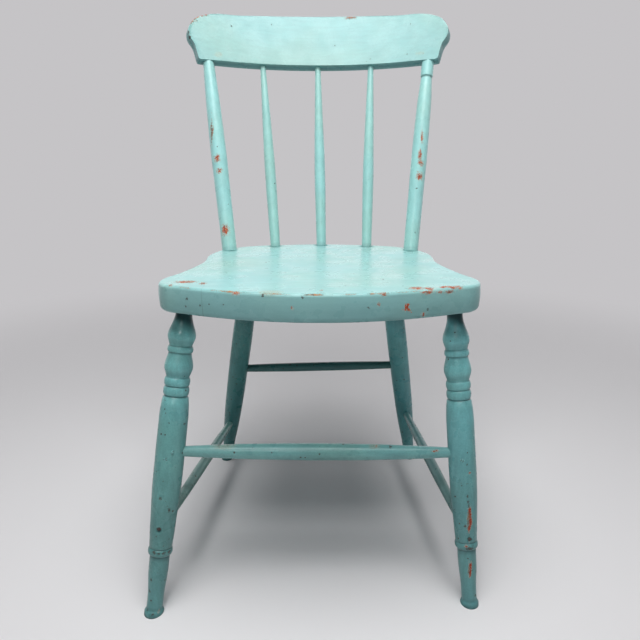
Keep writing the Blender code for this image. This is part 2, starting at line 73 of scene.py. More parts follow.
# Crest rail
CREST_MID = Vector((-0.0038, 0.4709, 0.7459))
CREST_LEAN = math.radians(20.7)
CREST_HEIGHT = 0.0918
CREST_THICK = 0.020
CREST_HALF_WIDTH = 0.2245
CREST_FOOT_HALF = 0.2075
CREST_BOW = 0.055
CREST_END_RISE = 0.005
CREST_SHOULDER = 0.0495
CREST_FOOT_TURN = 0.0012
CREST_WAIST_IN = 0.0100
CREST_WAIST_UP = 0.0297
CREST_EAR_IN = 0.0035
CREST_CORNER_IN = 0.0180
CREST_CORNER_FALL = 0.0098
CREST_TOP_FALL = 0.0027
CREST_EDGE = 0.0009
CREST_FULL = 0.0002
CREST_END_ZONE = 0.19       # beyond it, the outline's points are closer
CREST_SPACING = (0.0008, 0.0022)
CREST_ROLL_ROWS = 5
CREST_SLANT = Vector((0, math.sin(CREST_LEAN), math.cos(CREST_LEAN)))

# Posts and spindles
POST_BASE = Vector((0.1542, 0.3254, SEAT_TOP))
POST_TOP_X = 0.1903
POST_FOOT_R = 0.0124
POST_SWELL = ((0.333, 0.0130), (0.533, 0.0134), (0.783, 0.0120))
POST_TOP_R = 0.0095
POST_CAP_R = 0.0105
POST_CAP_LENGTH = 0.026
POST_CUT = 0.0006           # how far a post reaches into the crest rail
SPINDLE_BASE_X = (-0.0796, 0.0020, 0.0824)
SPINDLE_TOP_X = (-0.0988, -0.0008, 0.0936)
SPINDLE_FORE = 0.0145
SPINDLE_ROW_BOW = 0.0130
SPINDLE_FOOT_R = 0.0085
SPINDLE_SWELL = ((0.33, 0.0096), (0.50, 0.0092), (0.75, 0.0071))
SPINDLE_TOP_R = 0.0052
INSIDE = 0.004              # how far a post, spindle or leg starts inside the seat
BEYOND = 0.008              # how far a profile runs past the plane that cuts it

# Legs: top on the seat's underside, and the foot on the floor
LEGS = {
    "front_leg_left": (Vector((-0.1765, 0.0892, UNDERSIDE)), Vector((-0.2233, -0.0035, 0))),
    "front_leg_right": (Vector((0.1765, 0.0892, UNDERSIDE)), Vector((0.2071, 0.0137, 0))),
    "rear_leg_left": (Vector((-0.1193, 0.3242, UNDERSIDE)), Vector((-0.1909, 0.3980, 0))),
    "rear_leg_right": (Vector((0.1193, 0.3242, UNDERSIDE)), Vector((0.1833, 0.4051, 0))),
}
# The shares of LEG_PAINT's red, green and blue that each leg and stretcher shows; the low shares of
# the rear legs and the rear stretcher are painted shade from the seat above them
LEG_TONES_AND_SHADE = {
    "front_leg_left": (1.0, 1.0, 1.0), "front_leg_right": (1.03, 1.03, 1.05),
    "rear_leg_left": (0.46, 0.64, 0.62), "rear_leg_right": (0.80, 0.97, 1.00),
}
STRETCHER_TONES_AND_SHADE = {
    "front_stretcher": (1.20, 1.06, 1.04), "rear_stretcher": (0.34, 0.40, 0.38),
    "side_stretcher_left": (1.40, 1.10, 0.98), "side_stretcher_right": (1.00, 0.86, 0.84),
}

# Front legs: (distance below the seat, radius), and from FRONT_VASE_END on (height above
# the floor, radius)
FRONT_TENON_R = 0.0110
FRONT_BULB_R = 0.0183
FRONT_GROOVE_R = FRONT_BULB_R * 0.825
FRONT_UPPER_BULB = (
    (0.0, FRONT_TENON_R), (0.0135, FRONT_TENON_R), (0.0232, 0.0134), (0.0391, FRONT_BULB_R),
    (0.0522, FRONT_GROOVE_R),
)
FRONT_RING = (0.0537, 0.0622, 0.0018)   # first and last distance, and rise out of the groove
FRONT_LOWER_BULB = ((0.0632, FRONT_GROOVE_R), (0.0811, 0.0186), (0.0940, FRONT_GROOVE_R))
FRONT_BEADS = ((0.0952, 0.1064, 0.0018), (0.1074, 0.1192, 0.0019))
FRONT_SHOULDER = ((0.1200, FRONT_GROOVE_R), (0.1206, FRONT_GROOVE_R + 0.0006), (0.1217, 0.0169))
FRONT_VASE_TOP = ((0.1330, 0.0183), (0.1500, 0.0190))
FRONT_VASE_END = ((0.171, 0.0189), (0.117, 0.0165), (0.0928, 0.0151))
FRONT_LOW_RING = (0.0917, 0.0822)
FRONT_LOW_GROOVE_R = 0.0140
FRONT_LOW_RING_R = 0.0162
FRONT_ANKLE = ((0.0812, 0.0132), (0.0545, 0.0128), (0.029, 0.0109), (0.0065, 0.0106))
FRONT_FOOT_R = 0.0129
FRONT_FOOT = (
    (0.0052, 0.0116), (0.0042, 0.0123), (0.0030, FRONT_FOOT_R), (-0.0005, FRONT_FOOT_R),
    (-BEYOND, FRONT_FOOT_R),
)
FRONT_RIGHT_GIRTH = 0.955   # the right leg was turned slimmer,
FRONT_RIGHT_DROP = 0.0045   # and its rings sit lower

# Rear legs: (distance below the seat, radius), then (height above the floor, radius)
REAR_TENON_R = 0.0115
REAR_FOOT_R = 0.0106
REAR_UPPER = (
    (-INSIDE, REAR_TENON_R), (0.004, REAR_TENON_R), (0.040, 0.0155), (0.110, 0.0178),
    (0.190, 0.0177),
)
REAR_LOWER = (
    (0.145, 0.0167), (0.097, 0.0149), (0.042, 0.0113), (0.010, REAR_FOOT_R),
    (-BEYOND, REAR_FOOT_R),
)

# Stretchers: legs, heights on their axes, and radius at the ends and middle
STRETCHERS = {
    "front_stretcher": ("front_leg_left", "front_leg_right", 0.2147, 0.2094, 0.0070, 0.0113),
    "rear_stretcher": ("rear_leg_left", "rear_leg_right", 0.2115, 0.2188, 0.0070, 0.0083),
    "side_stretcher_left": ("front_leg_left", "rear_leg_left", 0.1170, 0.0926, 0.0060, 0.0082),
    "side_stretcher_right": ("front_leg_right", "rear_leg_right", 0.1035, 0.1140, 0.0060, 0.0082),
}
STRETCHER_STRAIGHT = 0.020  # straight length at each end
STRETCHER_ROWS = 120

# Holes over sunken nails: the nail, and the hole's radius and depth in millimetres
DENTS = {
    "front_leg_left": ("nail_4", 4.2, 2.4),
    "front_leg_right": ("nail_5", 3.4, 1.5),
}
PAINTED_NAILS = 3           # the first three nails are painted over
NAIL_COUNT = 5
NAIL_FACE = 0.0006          # the head's face lies within this of its foremost point

# How finely the shapes are divided
FRONT_LEG_SIDES = 76
REAR_LEG_SIDES = POST_SIDES = 56
SPINDLE_SIDES = STRETCHER_SIDES = 44
FRONT_LEG_STEP = 0.0016
POST_STEP = 0.0025
PLAIN_STEP = 0.003
BEAD_ROWS = 10
OUTLINE_STEPS = 24
EDGE_STEP = 0.0015

# Hand work: how deep its hollows are, how quickly they follow each other, and the seeds
TURNED_UNEVEN = 0.00022
PLANK_UNEVEN = 0.0003
UNEVEN_SCALES = (18.0, 34.0, 61.0)
SEAT_SEED = 3
CREST_SEED = 5
POST_SEEDS = (10, 12)
SPINDLE_SEEDS = (17, 21, 25)
LEG_SEED = 31
STRETCHER_SEED = 41

# Colours, as linear red, green and blue
SEAT_PAINT = (0.310, 0.600, 0.595)
CREST_PAINT = (0.270, 0.530, 0.525)
LEG_PAINT = (0.178, 0.475, 0.485)
POST_PAINT = (0.350, 0.675, 0.665)
PAINT_FADE = (1.05, 0.97, 0.91)      # shares of the paint's colour where it has aged
SCUFF = (0.52, 0.62, 0.50)
CRACKLE = (0.19, 0.15, 0.085)
CHIP_RIM = (0.66, 0.74, 0.68)
UNDERCOAT = (0.52, 0.105, 0.035)
UNDERCOAT_OLD = (0.29, 0.042, 0.020)
OCHRE = (0.50, 0.21, 0.070)
WOOD = (0.25, 0.155, 0.090)
WOOD_DARK = (0.075, 0.060, 0.045)
PIT = (0.058, 0.048, 0.038)
# Grime tones, which also colour the painted shade: on the seat's edge, the crest rail's under edge and
# ends, the legs' necks, the grooves and the lower legs
DIRT_AND_SHADE = (0.040, 0.092, 0.090)
CREST_DIRT_AND_SHADE = (0.030, 0.220, 0.230)   # painted shade on the crest rail's under edge and ends, and grime on the ends
LEG_DIRT_AND_SHADE = (0.010, 0.046, 0.050)
SEAT_DIRT_AND_SHADE = (0.012, 0.105, 0.120)
NAIL_STEEL = (0.050, 0.048, 0.045)
RUST = (0.055, 0.030, 0.020)
FLOOR = (0.78, 0.77, 0.78)
BACKDROP = (0.56, 0.55, 0.565)
SKY = (0.93, 0.95, 1.0)

# Paints: the share of cells without a dark speck, and how pebbly the paint is
SEAT_GRAIN = (0.99, 0.08)
CREST_GRAIN = (0.97, 0.10)
POST_GRAIN = (0.985, 0.10)
LEG_GRAIN = (0.76, 0.26)
BRUSH_STRETCH = 0.06        # the brush marks' scale along the stroke
RELIEF = 0.0005             # the height of the paint's relief

# Darkening where a turned piece starts: how dark it is, and how far it reaches. On the legs it is
# painted shade, the seat's shadow falling on them
NO_NECK = (0.0, 0.006)
POST_NECK = (0.15, 0.006)
# the legs' necks: painted shadow of the seat
FRONT_LEG_NECK = (0.98, 0.034)
REAR_LEG_NECK = (0.50, 0.150)
GROOVE_DIRT = (0.006, 0.0042)        # how near a groove's rims are, and how deep it is
GROOVE_SHADE_LINE = (0.0022, 0.0016)       # the same for the painted shade line in a sharp groove
FLOOR_DIRT = 0.007                   # height of the dirty sole of a foot
LOW_SHADE = 0.50                     # painted shade and grime: how far the paint darkens down to the floor
LOW_SHADE_HEIGHT = 0.34              # where that begins

# Stage: a round floor that curves up into a backdrop
FLOOR_RADIUS = 2.6
COVE_RADIUS = 1.4
COVE_ROWS = 13
BACKDROP_HEIGHT = 4.5
STAGE_SIDES = 96

# Lights: place, what they point at, width in metres, and power in watts
LIGHTS = {
    "overhead": ((0.0, -0.50, 2.15), (0.0, 0.05, 0.60), 1.4, 37.0),
    "front": ((-0.22, -1.42, 1.32), (0.0, -0.2, 0.35), 0.40, 4.4),
}
SKY_STRENGTH = 0.125

# Camera, fitted to the photograph: place, degrees down and to the left, and lens
CAMERA_PLACE = Vector((0.0033, -0.6127, 0.5859))
CAMERA_DOWN = 16.053
CAMERA_LEFT = 0.212
SENSOR_WIDTH = 36.0
FOCAL_SHARE = 552.98 / 640  # focal length as a share of the picture's width

# Wear places: centre and half sizes in millimetres, and what shows there.
# u undercoat, r solid undercoat, w undercoat with bare wood in its middle, t bare wood,
# d dark pit, s crackled scuff, e broadly worn edge, m smudge of dirt
WEAR = {
    "seat": (
        (-168, 67, 440, 11.3, 6.0, 3.0, "u"), (-144, 57, 440, 3.4, 5.5, 3.0, "w"),
        (-182, 49, 440, 1.8, 3.5, 2.0, "w"), (-160, 36, 426, 1.6, 3.0, 1.8, "d"),
        (-162, 37, 416, 1.3, 3.0, 1.3, "d"), (-143, 28, 419, 1.3, 3.0, 1.3, "d"),
        (-131, 24, 422, 1.3, 3.0, 1.3, "d"), (-113, 18, 423, 1.3, 3.0, 1.3, "d"),
        (-97, 14, 438, 5.0, 3.0, 1.9, "u"), (-56, 11, 440, 14.0, 9.0, 4.0, "s"),
        (-65, 7, 437, 1.6, 3.0, 1.6, "d"), (-19, 1, 436, 1.6, 3.0, 1.6, "d"),
        (-31, 1, 423, 1.7, 3.0, 1.6, "u"), (3, 22, 440, 1.8, 3.0, 2.0, "u"),
        (116, 33, 440, 7.6, 7.0, 3.0, "u"), (131, 31, 440, 5.2, 5.5, 3.0, "u"),
        (155, 41, 440, 8.6, 3.6, 3.0, "u"), (169, 43, 439, 4.2, 3.4, 3.0, "u"),
        (128, 23, 437, 8.6, 3.0, 1.8, "w"), (144, 29, 436, 4.0, 3.0, 1.6, "u"),
        (157, 34, 435, 5.4, 3.0, 1.9, "w"), (75, 9, 438, 2.6, 3.0, 2.4, "w"),
        (69, 7, 427, 1.8, 3.0, 2.2, "u"), (57, 5, 423, 1.6, 3.0, 1.5, "d"),
        (101, 15, 421, 1.1, 4.0, 4.4, "r"), (104, 16, 424, 1.8, 4.0, 1.5, "r"),
        (105, 16, 418, 2.2, 4.0, 1.4, "r"), (103, 15, 421, 1.7, 4.0, 1.7, "r"),
        (98, 14, 418, 1.0, 3.0, 1.0, "u"), (108, 17, 415, 1.0, 3.0, 1.0, "u"),
        (112, 34, 440, 2.6, 3.0, 3.0, "r"), (118, 34, 440, 2.0, 3.6, 3.0, "r"),
        (130, 32, 440, 3.6, 3.2, 3.0, "r"), (148, 37, 440, 2.4, 2.6, 3.0, "r"),
        (160, 39, 440, 3.0, 1.8, 3.0, "r"), (-170, 64, 440, 5.0, 2.2, 3.0, "r"),
        (124, 22, 410, 2.0, 3.0, 2.3, "u"),
        (129, 23, 416, 1.5, 3.0, 1.7, "d"),
    ),
    "back_post_left": (
        (-185, 381, 633, 1.6, 7.6, 27.8, "t"), (-184, 381, 636, 2.2, 4.0, 6.5, "u"),
        (-175, 364, 590, 4.6, 5.0, 5.7, "u"), (-171, 357, 570, 4.6, 5.0, 4.5, "u"),
        (-160, 324, 474, 6.0, 5.0, 9.0, "u"), (-176, 365, 593, 3.4, 5.0, 1.2, "r"),
        (-174, 363, 588, 1.2, 5.0, 3.2, "r"), (-172, 358, 570, 1.3, 5.0, 2.4, "r"),
        (-162, 325, 475, 1.6, 5.0, 6.0, "r"), (-158, 323, 473, 1.6, 5.0, 5.0, "r"),
        (-186, 382, 642, 0.8, 5.0, 6.0, "r"), (-184, 380, 626, 0.8, 5.0, 6.0, "r"),
    ),
    "back_post_right": (
        (173, 376, 626, 1.8, 5.0, 11.0, "u"), (169, 365, 595, 2.4, 5.0, 10.0, "u"),
        (171, 361, 582, 4.0, 5.0, 4.9, "u"), (168, 354, 561, 4.6, 5.0, 5.8, "u"),
        (172, 375, 624, 0.9, 5.0, 8.0, "r"), (170, 366, 597, 1.0, 5.0, 9.0, "r"),
        (169, 361, 584, 2.8, 5.0, 1.4, "r"), (168, 354, 562, 2.6, 5.0, 1.6, "r"),
        (166, 353, 558, 1.0, 5.0, 2.2, "r"), (160, 323, 470, 0.9, 4.0, 2.2, "d"),
        (157, 322, 464, 0.9, 4.0, 0.9, "d"), (161, 322, 459, 0.9, 4.0, 0.9, "d"),
    ),
    "front_leg_left": (
        (-207, 15, 163, 2.1, 3.0, 2.8, "d"), (-197, 15, 146, 1.8, 3.0, 2.8, "d"),
        (-199, 17, 152, 1.4, 3.0, 1.6, "d"), (-211, 14, 140, 1.2, 3.0, 1.2, "d"),
        (-214, 6, 112, 1.3, 3.0, 1.5, "d"), (-203, 22, 186, 1.2, 3.0, 1.4, "d"),
        (-177, 46, 254, 1.3, 3.0, 1.4, "d"), (-194, 37, 260, 1.3, 3.0, 1.4, "d"),
        (-217, 1, 90, 1.9, 4.0, 1.9, "d"), (-211, 0, 89, 2.0, 4.0, 1.5, "d"),
        (-205, 3, 88, 2.4, 3.0, 1.8, "d"), (-200, 8, 86, 1.9, 3.0, 1.9, "d"),
        (-223, -3, 51, 1.5, 4.0, 2.4, "d"), (-214, -6, 62, 1.3, 4.0, 1.6, "d"),
        (-226, -5, 35, 1.5, 4.0, 2.0, "d"), (-230, -12, 9, 2.0, 4.0, 1.6, "d"),
        (-222, -15, 5, 2.2, 4.0, 1.6, "d"), (-214, -13, 7, 1.8, 4.0, 1.6, "u"),
    ),
    "front_leg_right": (
        (194, 33, 203, 1.4, 3.0, 1.4, "d"), (198, 32, 191, 1.4, 3.0, 1.4, "u"),
        (195, 29, 177, 1.4, 3.0, 1.4, "d"), (196, 26, 160, 1.3, 3.0, 2.4, "d"),
        (197, 25, 152, 1.5, 4.0, 3.0, "d"), (198, 24, 146, 1.4, 4.0, 2.2, "d"),
        (200, 18, 141, 1.8, 8.0, 6.5, "r"), (200, 18, 133, 2.8, 8.0, 7.5, "r"),
        (201, 17, 124, 2.4, 8.0, 8.0, "r"), (200, 16, 116, 1.5, 8.0, 5.5, "r"),
        (198, 18, 130, 1.6, 6.0, 13.0, "t"), (201, 15, 99, 1.2, 4.0, 3.0, "u"),
        (201, 15, 87, 5.6, 5.0, 2.2, "d"), (197, 14, 90, 2.0, 5.0, 1.6, "u"),
        (204, 8, 61, 1.8, 8.0, 6.5, "r"), (204, 8, 52, 1.5, 8.0, 6.5, "r"),
        (202, 8, 57, 1.2, 6.0, 8.0, "t"), (212, -2, 6, 2.2, 4.0, 1.6, "d"),
        (203, -1, 7, 1.8, 4.0, 1.6, "d"),
    ),
    "front_stretcher": (
        (-127, 47, 223, 16.0, 9.0, 5.0, "s"), (-122, 47, 224, 3.0, 6.0, 1.4, "d"),
        (-134, 47, 223, 2.0, 5.0, 1.2, "d"), (95, 49, 220, 2.2, 4.0, 1.2, "d"),
        (73, 48, 221, 7.0, 6.0, 2.6, "s"), (76, 48, 222, 2.0, 5.0, 1.2, "w"),
        (154, 47, 215, 3.6, 4.0, 1.2, "w"), (0, 47, 208, 70.0, 16.0, 5.0, "m"),
    ),
    "crest_rail": (
        (-214, 438, 816, 13.0, 14.0, 10.0, "e"), (54, 489, 832, 8.6, 8.0, 1.8, "w"),
        (-198, 447, 829, 4.5, 5.0, 2.0, "u"), (-205, 446, 827, 4.0, 5.0, 2.4, "u"),
        (-211, 443, 824, 3.4, 5.0, 2.6, "u"), (-216, 439, 820, 3.0, 5.0, 3.0, "u"),
        (-220, 435, 814, 2.4, 5.0, 3.4, "w"), (-225, 425, 796, 2.6, 5.0, 3.6, "d"),
        (-223, 426, 788, 2.6, 5.0, 3.6, "d"), (-178, 438, 762, 9.0, 8.0, 6.0, "s"),
        (176, 438, 764, 12.0, 8.0, 4.0, "s"),
    ),
    "rear_leg_left": ((-172, 379, 83, 2.0, 6.0, 2.0, "d"),),
    "side_stretcher_left": ((-200, 114, 112, 14.0, 11.0, 12.0, "m"),),
    "side_stretcher_right": ((188, 138, 107, 12.0, 13.0, 12.0, "m"),),
}
WEAR_FIELDS = ("chip", "bare", "pit", "scuff", "edge", "smudge")
REACH = {
    "u": ("chip",), "r": ("chip",), "t": ("chip", "bare"), "w": ("chip", "bare"), "d": ("pit",),
    "e": ("edge",), "s": ("scuff",), "m": ("smudge",),
}
SPREAD = 1.3                # a wear place's last flecks lie this far out, in its half sizes


class Graph:
    """Short ways to add shader nodes to one material."""

    def __init__(self, name):
        self.material = bpy.data.materials.new(name)
        self.material.use_nodes = True
        self.nodes = self.material.node_tree.nodes
        self.links = self.material.node_tree.links
        self.shader = self.nodes["Principled BSDF"]

    def add(self, kind, values=(), **settings):
        node = self.nodes.new("ShaderNode" + kind)
        for key, value in settings.items():
            setattr(node, key, value)
        for key, value in dict(values).items():
            self.put(node.inputs[key], value)
        return node

    def put(self, socket, value):
        if isinstance(value, bpy.types.NodeSocket):
            self.links.new(value, socket)
        elif isinstance(value, (tuple, list)) and len(value) == 3 and socket.type == "RGBA":
            socket.default_value = (*value, 1.0)
        else:
            socket.default_value = value

    def math(self, operation, a, b=0.0, clamp=False):
        node = self.add("Math", operation=operation, use_clamp=clamp)
        self.put(node.inputs[0], a)
        self.put(node.inputs[1], b)
        return node.outputs[0]

    def ramp(self, value, low, high, to_low=0.0, to_high=1.0):
        node = self.add("MapRange", {"Value": value, "From Min": low, "From Max": high,
                                     "To Min": to_low, "To Max": to_high})
        node.interpolation_type = "SMOOTHSTEP"
        return node.outputs[0]

    def total(self, *parts):
        """The sum of (value, share) pairs."""
        out = 0.0
        for value, share in parts:
            out = self.math("ADD", out, self.math("MULTIPLY", value, share))
        return out

    def mix(self, factor, a, b, blend="MIX"):
        node = self.add("Mix", data_type="RGBA", blend_type=blend)
        self.put(node.inputs[0], factor)
        self.put(node.inputs[6], a)
        self.put(node.inputs[7], b)
        return node.outputs[2]

    def noise(self, coords, scale, detail=2.0, roughness=0.5):
        values = {"Vector": coords, "Scale": scale, "Detail": detail, "Roughness": roughness}
        return self.add("TexNoise", values).outputs[0]

    def stretch(self, coords, scale):
        return self.add("Mapping", {"Vector": coords, "Scale": scale}).outputs[0]

    def attribute(self, name):
        return self.add("Attribute", attribute_name=name).outputs["Fac"]


def paint_graph(name, tone, along, grain, dirt_and_shade_tone=DIRT_AND_SHADE):
    """Brushed gloss paint that flakes where the mesh's wear fields say.

    along is the axis of the brush strokes, and grain a pair as SEAT_GRAIN.
    """
    clean, coarse = grain
    g = Graph(name)
    g.coords = g.add("TexCoord").outputs["Object"]
    g.stroke = g.stretch(g.coords, tuple(BRUSH_STRETCH if axis == along else 1.0 for axis in "XYZ"))
    g.ragged = g.math("SUBTRACT", g.noise(g.coords, 520.0, 5.0, 0.74), 0.5)
    g.flecks = g.math("SUBTRACT", g.noise(g.coords, 1250.0, 3.0, 0.75), 0.5)
    g.pebbles = g.noise(g.coords, 480.0, 4.0, 0.72)
    mark_losses(g, clean)
    colour = soiled(g, brushed_paint(g, tone, coarse), dirt_and_shade_tone)
    g.colour = laid_bare(g, colour, coarse)
    add_relief(g, coarse)
    return g


def mark_losses(g, clean):
    """Masks of what is lost: flakes and their rims, rubbed paint, bare wood and pits."""
    g.chip_field = g.total((g.ragged, 4.2), (g.flecks, 2.4), (g.attribute("chip"), 1.0))
    g.chipped = g.ramp(g.chip_field, 0.30, 0.40)
    g.rim = g.ramp(g.chip_field, -0.10, 0.34)

    patch = g.noise(g.coords, 55.0, 4.0, 0.6)
    worn_field = g.total((g.attribute("worn"), 0.60), (g.flecks, 1.1), (patch, 1.0))
    g.rubbed = g.ramp(worn_field, 1.09, 1.14)

    fine = g.math("SUBTRACT", g.noise(g.coords, 800.0, 3.0, 0.6), 0.5)
    bare_field = g.total((g.attribute("bare"), 1.0), (fine, 1.8))
    g.bare = g.math("MULTIPLY", g.ramp(bare_field, 0.22, 0.34), g.chipped)

    pit_field = g.total((g.ragged, 3.0), (g.flecks, 1.8), (g.attribute("pit"), 1.0))
    g.pitted = g.math("MAXIMUM", g.ramp(pit_field, 0.26, 0.42), stray_specks(g, clean))
    g.gone = g.math("MAXIMUM", g.math("MAXIMUM", g.chipped, g.rubbed), g.pitted)


def stray_specks(g, clean):
    """Small dark specks in a few cells of the paint; clean is the share without one."""
    cells = g.add("TexVoronoi", {"Vector": g.coords, "Scale": 160.0})
    pick = g.add("SeparateColor", {"Color": cells.outputs["Color"]})
    size = g.ramp(pick.outputs[0], clean, 1.0, 0.0, 0.25)
    away = g.total((cells.outputs["Distance"], 1.0), (g.ragged, 0.5))
    return g.ramp(g.math("SUBTRACT", size, away), 0.0, 0.03)


def brushed_paint(g, tone, coarse):
    """The paint itself: faded in patches, streaked by the brush, clouded and pebbly."""
    faded = tuple(value * share for value, share in zip(tone, PAINT_FADE))
    aged = g.mix(g.ramp(g.noise(g.coords, 7.0, 3.0), 0.35, 0.70), tone, faded)
    streaks = g.ramp(g.noise(g.stroke, 190.0, 4.0, 0.6), 0.30, 0.72,
                     0.97 - 0.25 * coarse, 1.02 + 0.20 * coarse)
    clouds = g.ramp(g.noise(g.coords, 26.0, 4.0, 0.6), 0.30, 0.72,
                    1.0 - 0.40 * coarse, 1.0 + 0.25 * coarse)
    mottle = g.ramp(g.pebbles, 0.34, 0.66, 1.0 - 0.30 * coarse, 1.0 + 0.22 * coarse)
    level = g.math("MULTIPLY", g.math("MULTIPLY", streaks, clouds), mottle)
    grey = g.add("CombineColor", {0: level, 1: level, 2: level}).outputs[0]
    return g.mix(1.0, aged, grey, "MULTIPLY")


def soiled(g, colour, dirt_and_shade_tone):
    """Add crackled scuffs, grime, the painted shade and the pale rims round flakes."""
    area = g.ramp(g.total((g.attribute("scuff"), 1.0), (g.ragged, 1.6)), 0.05, 0.5)
    cells = g.add("TexVoronoi", {"Vector": g.coords, "Scale": 620.0}, feature="DISTANCE_TO_EDGE")
    crackle = g.math("MULTIPLY", g.ramp(cells.outputs["Distance"], 0.03, 0.10, 1.0, 0.0), area)
    colour = g.mix(g.math("MULTIPLY", area, 0.38), colour, SCUFF)
    colour = g.mix(g.math("MULTIPLY", crackle, 0.6), colour, CRACKLE)
    blotches = g.ramp(g.noise(g.coords, 120.0, 4.0, 0.6), 0.25, 0.70, 0.25, 1.0)
    g.grime = g.math("MULTIPLY", g.attribute("dirt"), blotches)
    colour = g.mix(g.math("MULTIPLY", g.grime, 0.75, clamp=True), colour, dirt_and_shade_tone)
    # painted shade: darkening where less light falls, mixed in without noise
    colour = g.mix(g.attribute("painted_shade"), colour, dirt_and_shade_tone)
    return g.mix(g.math("MULTIPLY", g.rim, 0.40), colour, CHIP_RIM)


def laid_bare(g, colour, coarse):
    """Undercoat in the flakes, wood where they are deep or rubbed through, and dark pits."""
    older = 1.54 * coarse
    age = g.ramp(g.noise(g.coords, 300.0, 3.0), 0.54 - older, 0.76 - older)
    under = g.mix(age, UNDERCOAT, UNDERCOAT_OLD)
    under = g.mix(g.ramp(g.chip_field, 0.34, 0.60), OCHRE, under)
    wood = g.mix(g.ramp(g.noise(g.stroke, 700.0, 3.0), 0.35, 0.65), WOOD, WOOD_DARK)
    through = g.mix(g.ramp(g.noise(g.coords, 150.0, 2.0), 0.42, 0.52), wood, under)
    colour = g.mix(g.rubbed, colour, through)
    colour = g.mix(g.chipped, colour, under)
    colour = g.mix(g.bare, colour, wood)
    return g.mix(g.math("MULTIPLY", g.pitted, 0.88), colour, PIT)


def add_relief(g, coarse):
    """The paint's gloss, duller where it is lost or dirty, and its height."""
    gloss = g.ramp(g.noise(g.coords, 40.0, 3.0), 0.3, 0.7, 0.24, 0.38)
    dull = g.math("MULTIPLY", g.math("MAXIMUM", g.gone, g.grime), 0.38)
    g.put(g.shader.inputs["Roughness"], g.math("ADD", gloss, dull, clamp=True))
    g.put(g.shader.inputs["Specular IOR Level"], 0.38)
    brush = g.noise(g.stroke, 260.0, 4.0, 0.55)
    ripple = g.noise(g.coords, 110.0, 3.0)
    g.height = g.total((brush, 0.10), (g.pebbles, 0.70 * coarse), (ripple, 0.16),
                       (g.gone, -0.50), (g.bare, -0.25), (g.rim, 0.10))


def finish_paint(g):
    """Connect the colour and the relief, and return the material."""
    g.links.new(g.colour, g.shader.inputs["Base Color"])
    bump = g.add("Bump", {"Height": g.height, "Strength": 0.8, "Distance": RELIEF})
    g.links.new(bump.outputs[0], g.shader.inputs["Normal"])
    return g.material


def add_crack(g):
    """The upright hairline crack in the seat's front edge."""
    x, y, z = g.add("SeparateXYZ", {"Vector": g.coords}).outputs
    wander = g.math("MULTIPLY", g.math("SUBTRACT", g.noise(g.coords, 60.0), 0.5), 0.0012)
    across = g.math("SUBTRACT", g.math("ADD", x, wander), SEAT_CRACK_X + ORIGIN.x)
    width = g.ramp(z, UNDERSIDE, SEAT_TOP - 0.006, *SEAT_CRACK_WIDTHS)
    line = g.ramp(g.math("SUBTRACT", width, g.math("ABSOLUTE", across)), 0.0, 0.00015)
    back = ORIGIN.y + SEAT_CRACK_BACK
    line = g.math("MULTIPLY", line, g.ramp(y, back, back + 0.001, 1.0, 0.0))
    g.colour = g.mix(g.math("MULTIPLY", line, 0.42), g.colour, WOOD_DARK)
    g.height = g.math("SUBTRACT", g.height, line)


def nail_material(name, tone, spots):
    """A nail's head: painted over or rusty, with spots of the other tone."""
    g = Graph(name)
    coords = g.add("TexCoord").outputs["Object"]
    grain = g.noise(coords, 700.0, 4.0, 0.7)
    g.colour = g.mix(g.ramp(grain, 0.46, 0.60), tone, spots)
    g.height = grain
    g.links.new(g.ramp(grain, 0.3, 0.7, 0.35, 0.75), g.shader.inputs["Roughness"])
    return finish_paint(g)


def smooth_noise(points, seed):
    """Slow, repeatable unevenness between -1 and 1, for hand work."""
    rng = np.random.default_rng(seed)
    out = np.zeros(len(points))
    for scale in UNEVEN_SCALES:
        way = rng.normal(size=3)
        way *= scale / np.linalg.norm(way)
        out += np.sin(points @ way * 2.0 + rng.uniform(0, 2 * math.pi)) / len(UNEVEN_SCALES)
    return out


def blend(points, step):
    """Ease smoothly through (distance, radius) points, a row every step."""
    out = []
    for i in range(len(points) - 1):
        (z1, r1), (z2, r2) = points[i], points[i + 1]
        before = points[max(i - 1, 0)]
        after = points[min(i + 2, len(points) - 1)]
        slope1 = (r2 - before[1]) / (z2 - before[0])
        slope2 = (after[1] - r1) / (after[0] - z1)
        count = max(1, round((z2 - z1) / step))
        for k in range(count):
            t = k / count
            span = z2 - z1
            ease = (2 * t**3 - 3 * t**2 + 1) * r1 + (3 * t**2 - 2 * t**3) * r2
            bend = (t**3 - 2 * t**2 + t) * slope1 * span + (t**3 - t**2) * slope2 * span
            out.append((z1 + t * span, ease + bend))
    return out + [points[-1]]


def bead(first, last, groove, crown):
    """A half-round ring between two grooves."""
    out = []
    for k in range(BEAD_ROWS + 1):
        angle = math.pi * k / BEAD_ROWS
        z = (first + last) / 2 - (last - first) / 2 * math.cos(angle)
        out.append((z, groove + (crown - groove) * math.sin(angle)))
    return out


def set_field(mesh, name, values):
    field = mesh.attributes.new(name, "FLOAT", "POINT")
    field.data.foreach_set("value", np.asarray(values, np.float32))


def wear_value(field, kind, value):
    """What a place of one kind adds to a field, from 1 at its centre and 0 at its rim."""
    if field == "pit":
        return np.minimum(value, 0.65)
    if field == "chip":
        return np.minimum(2.2 * value, 1.0) if kind == "r" else np.minimum(value, 0.55)
    if field == "bare":
        return np.minimum(value, 0.55) - 0.25 if kind == "w" else np.minimum(3 * value, 1.0)
    return value


def wear_fields(name, points):
    """The strongest wear at each point, which is in the seat's frame, field by field."""
    fields = {field: np.full(len(points), -1.0) for field in WEAR_FIELDS}
    for x, y, z, half_x, half_y, half_z, kind in WEAR.get(name, ()):
        away = (points * 1000 - (x, y, z)) / (half_x, half_y, half_z) / SPREAD
        value = 1 - np.sqrt((away**2).sum(1))
        for field in REACH[kind]:
            fields[field] = np.maximum(fields[field], wear_value(field, kind, value))
    return fields


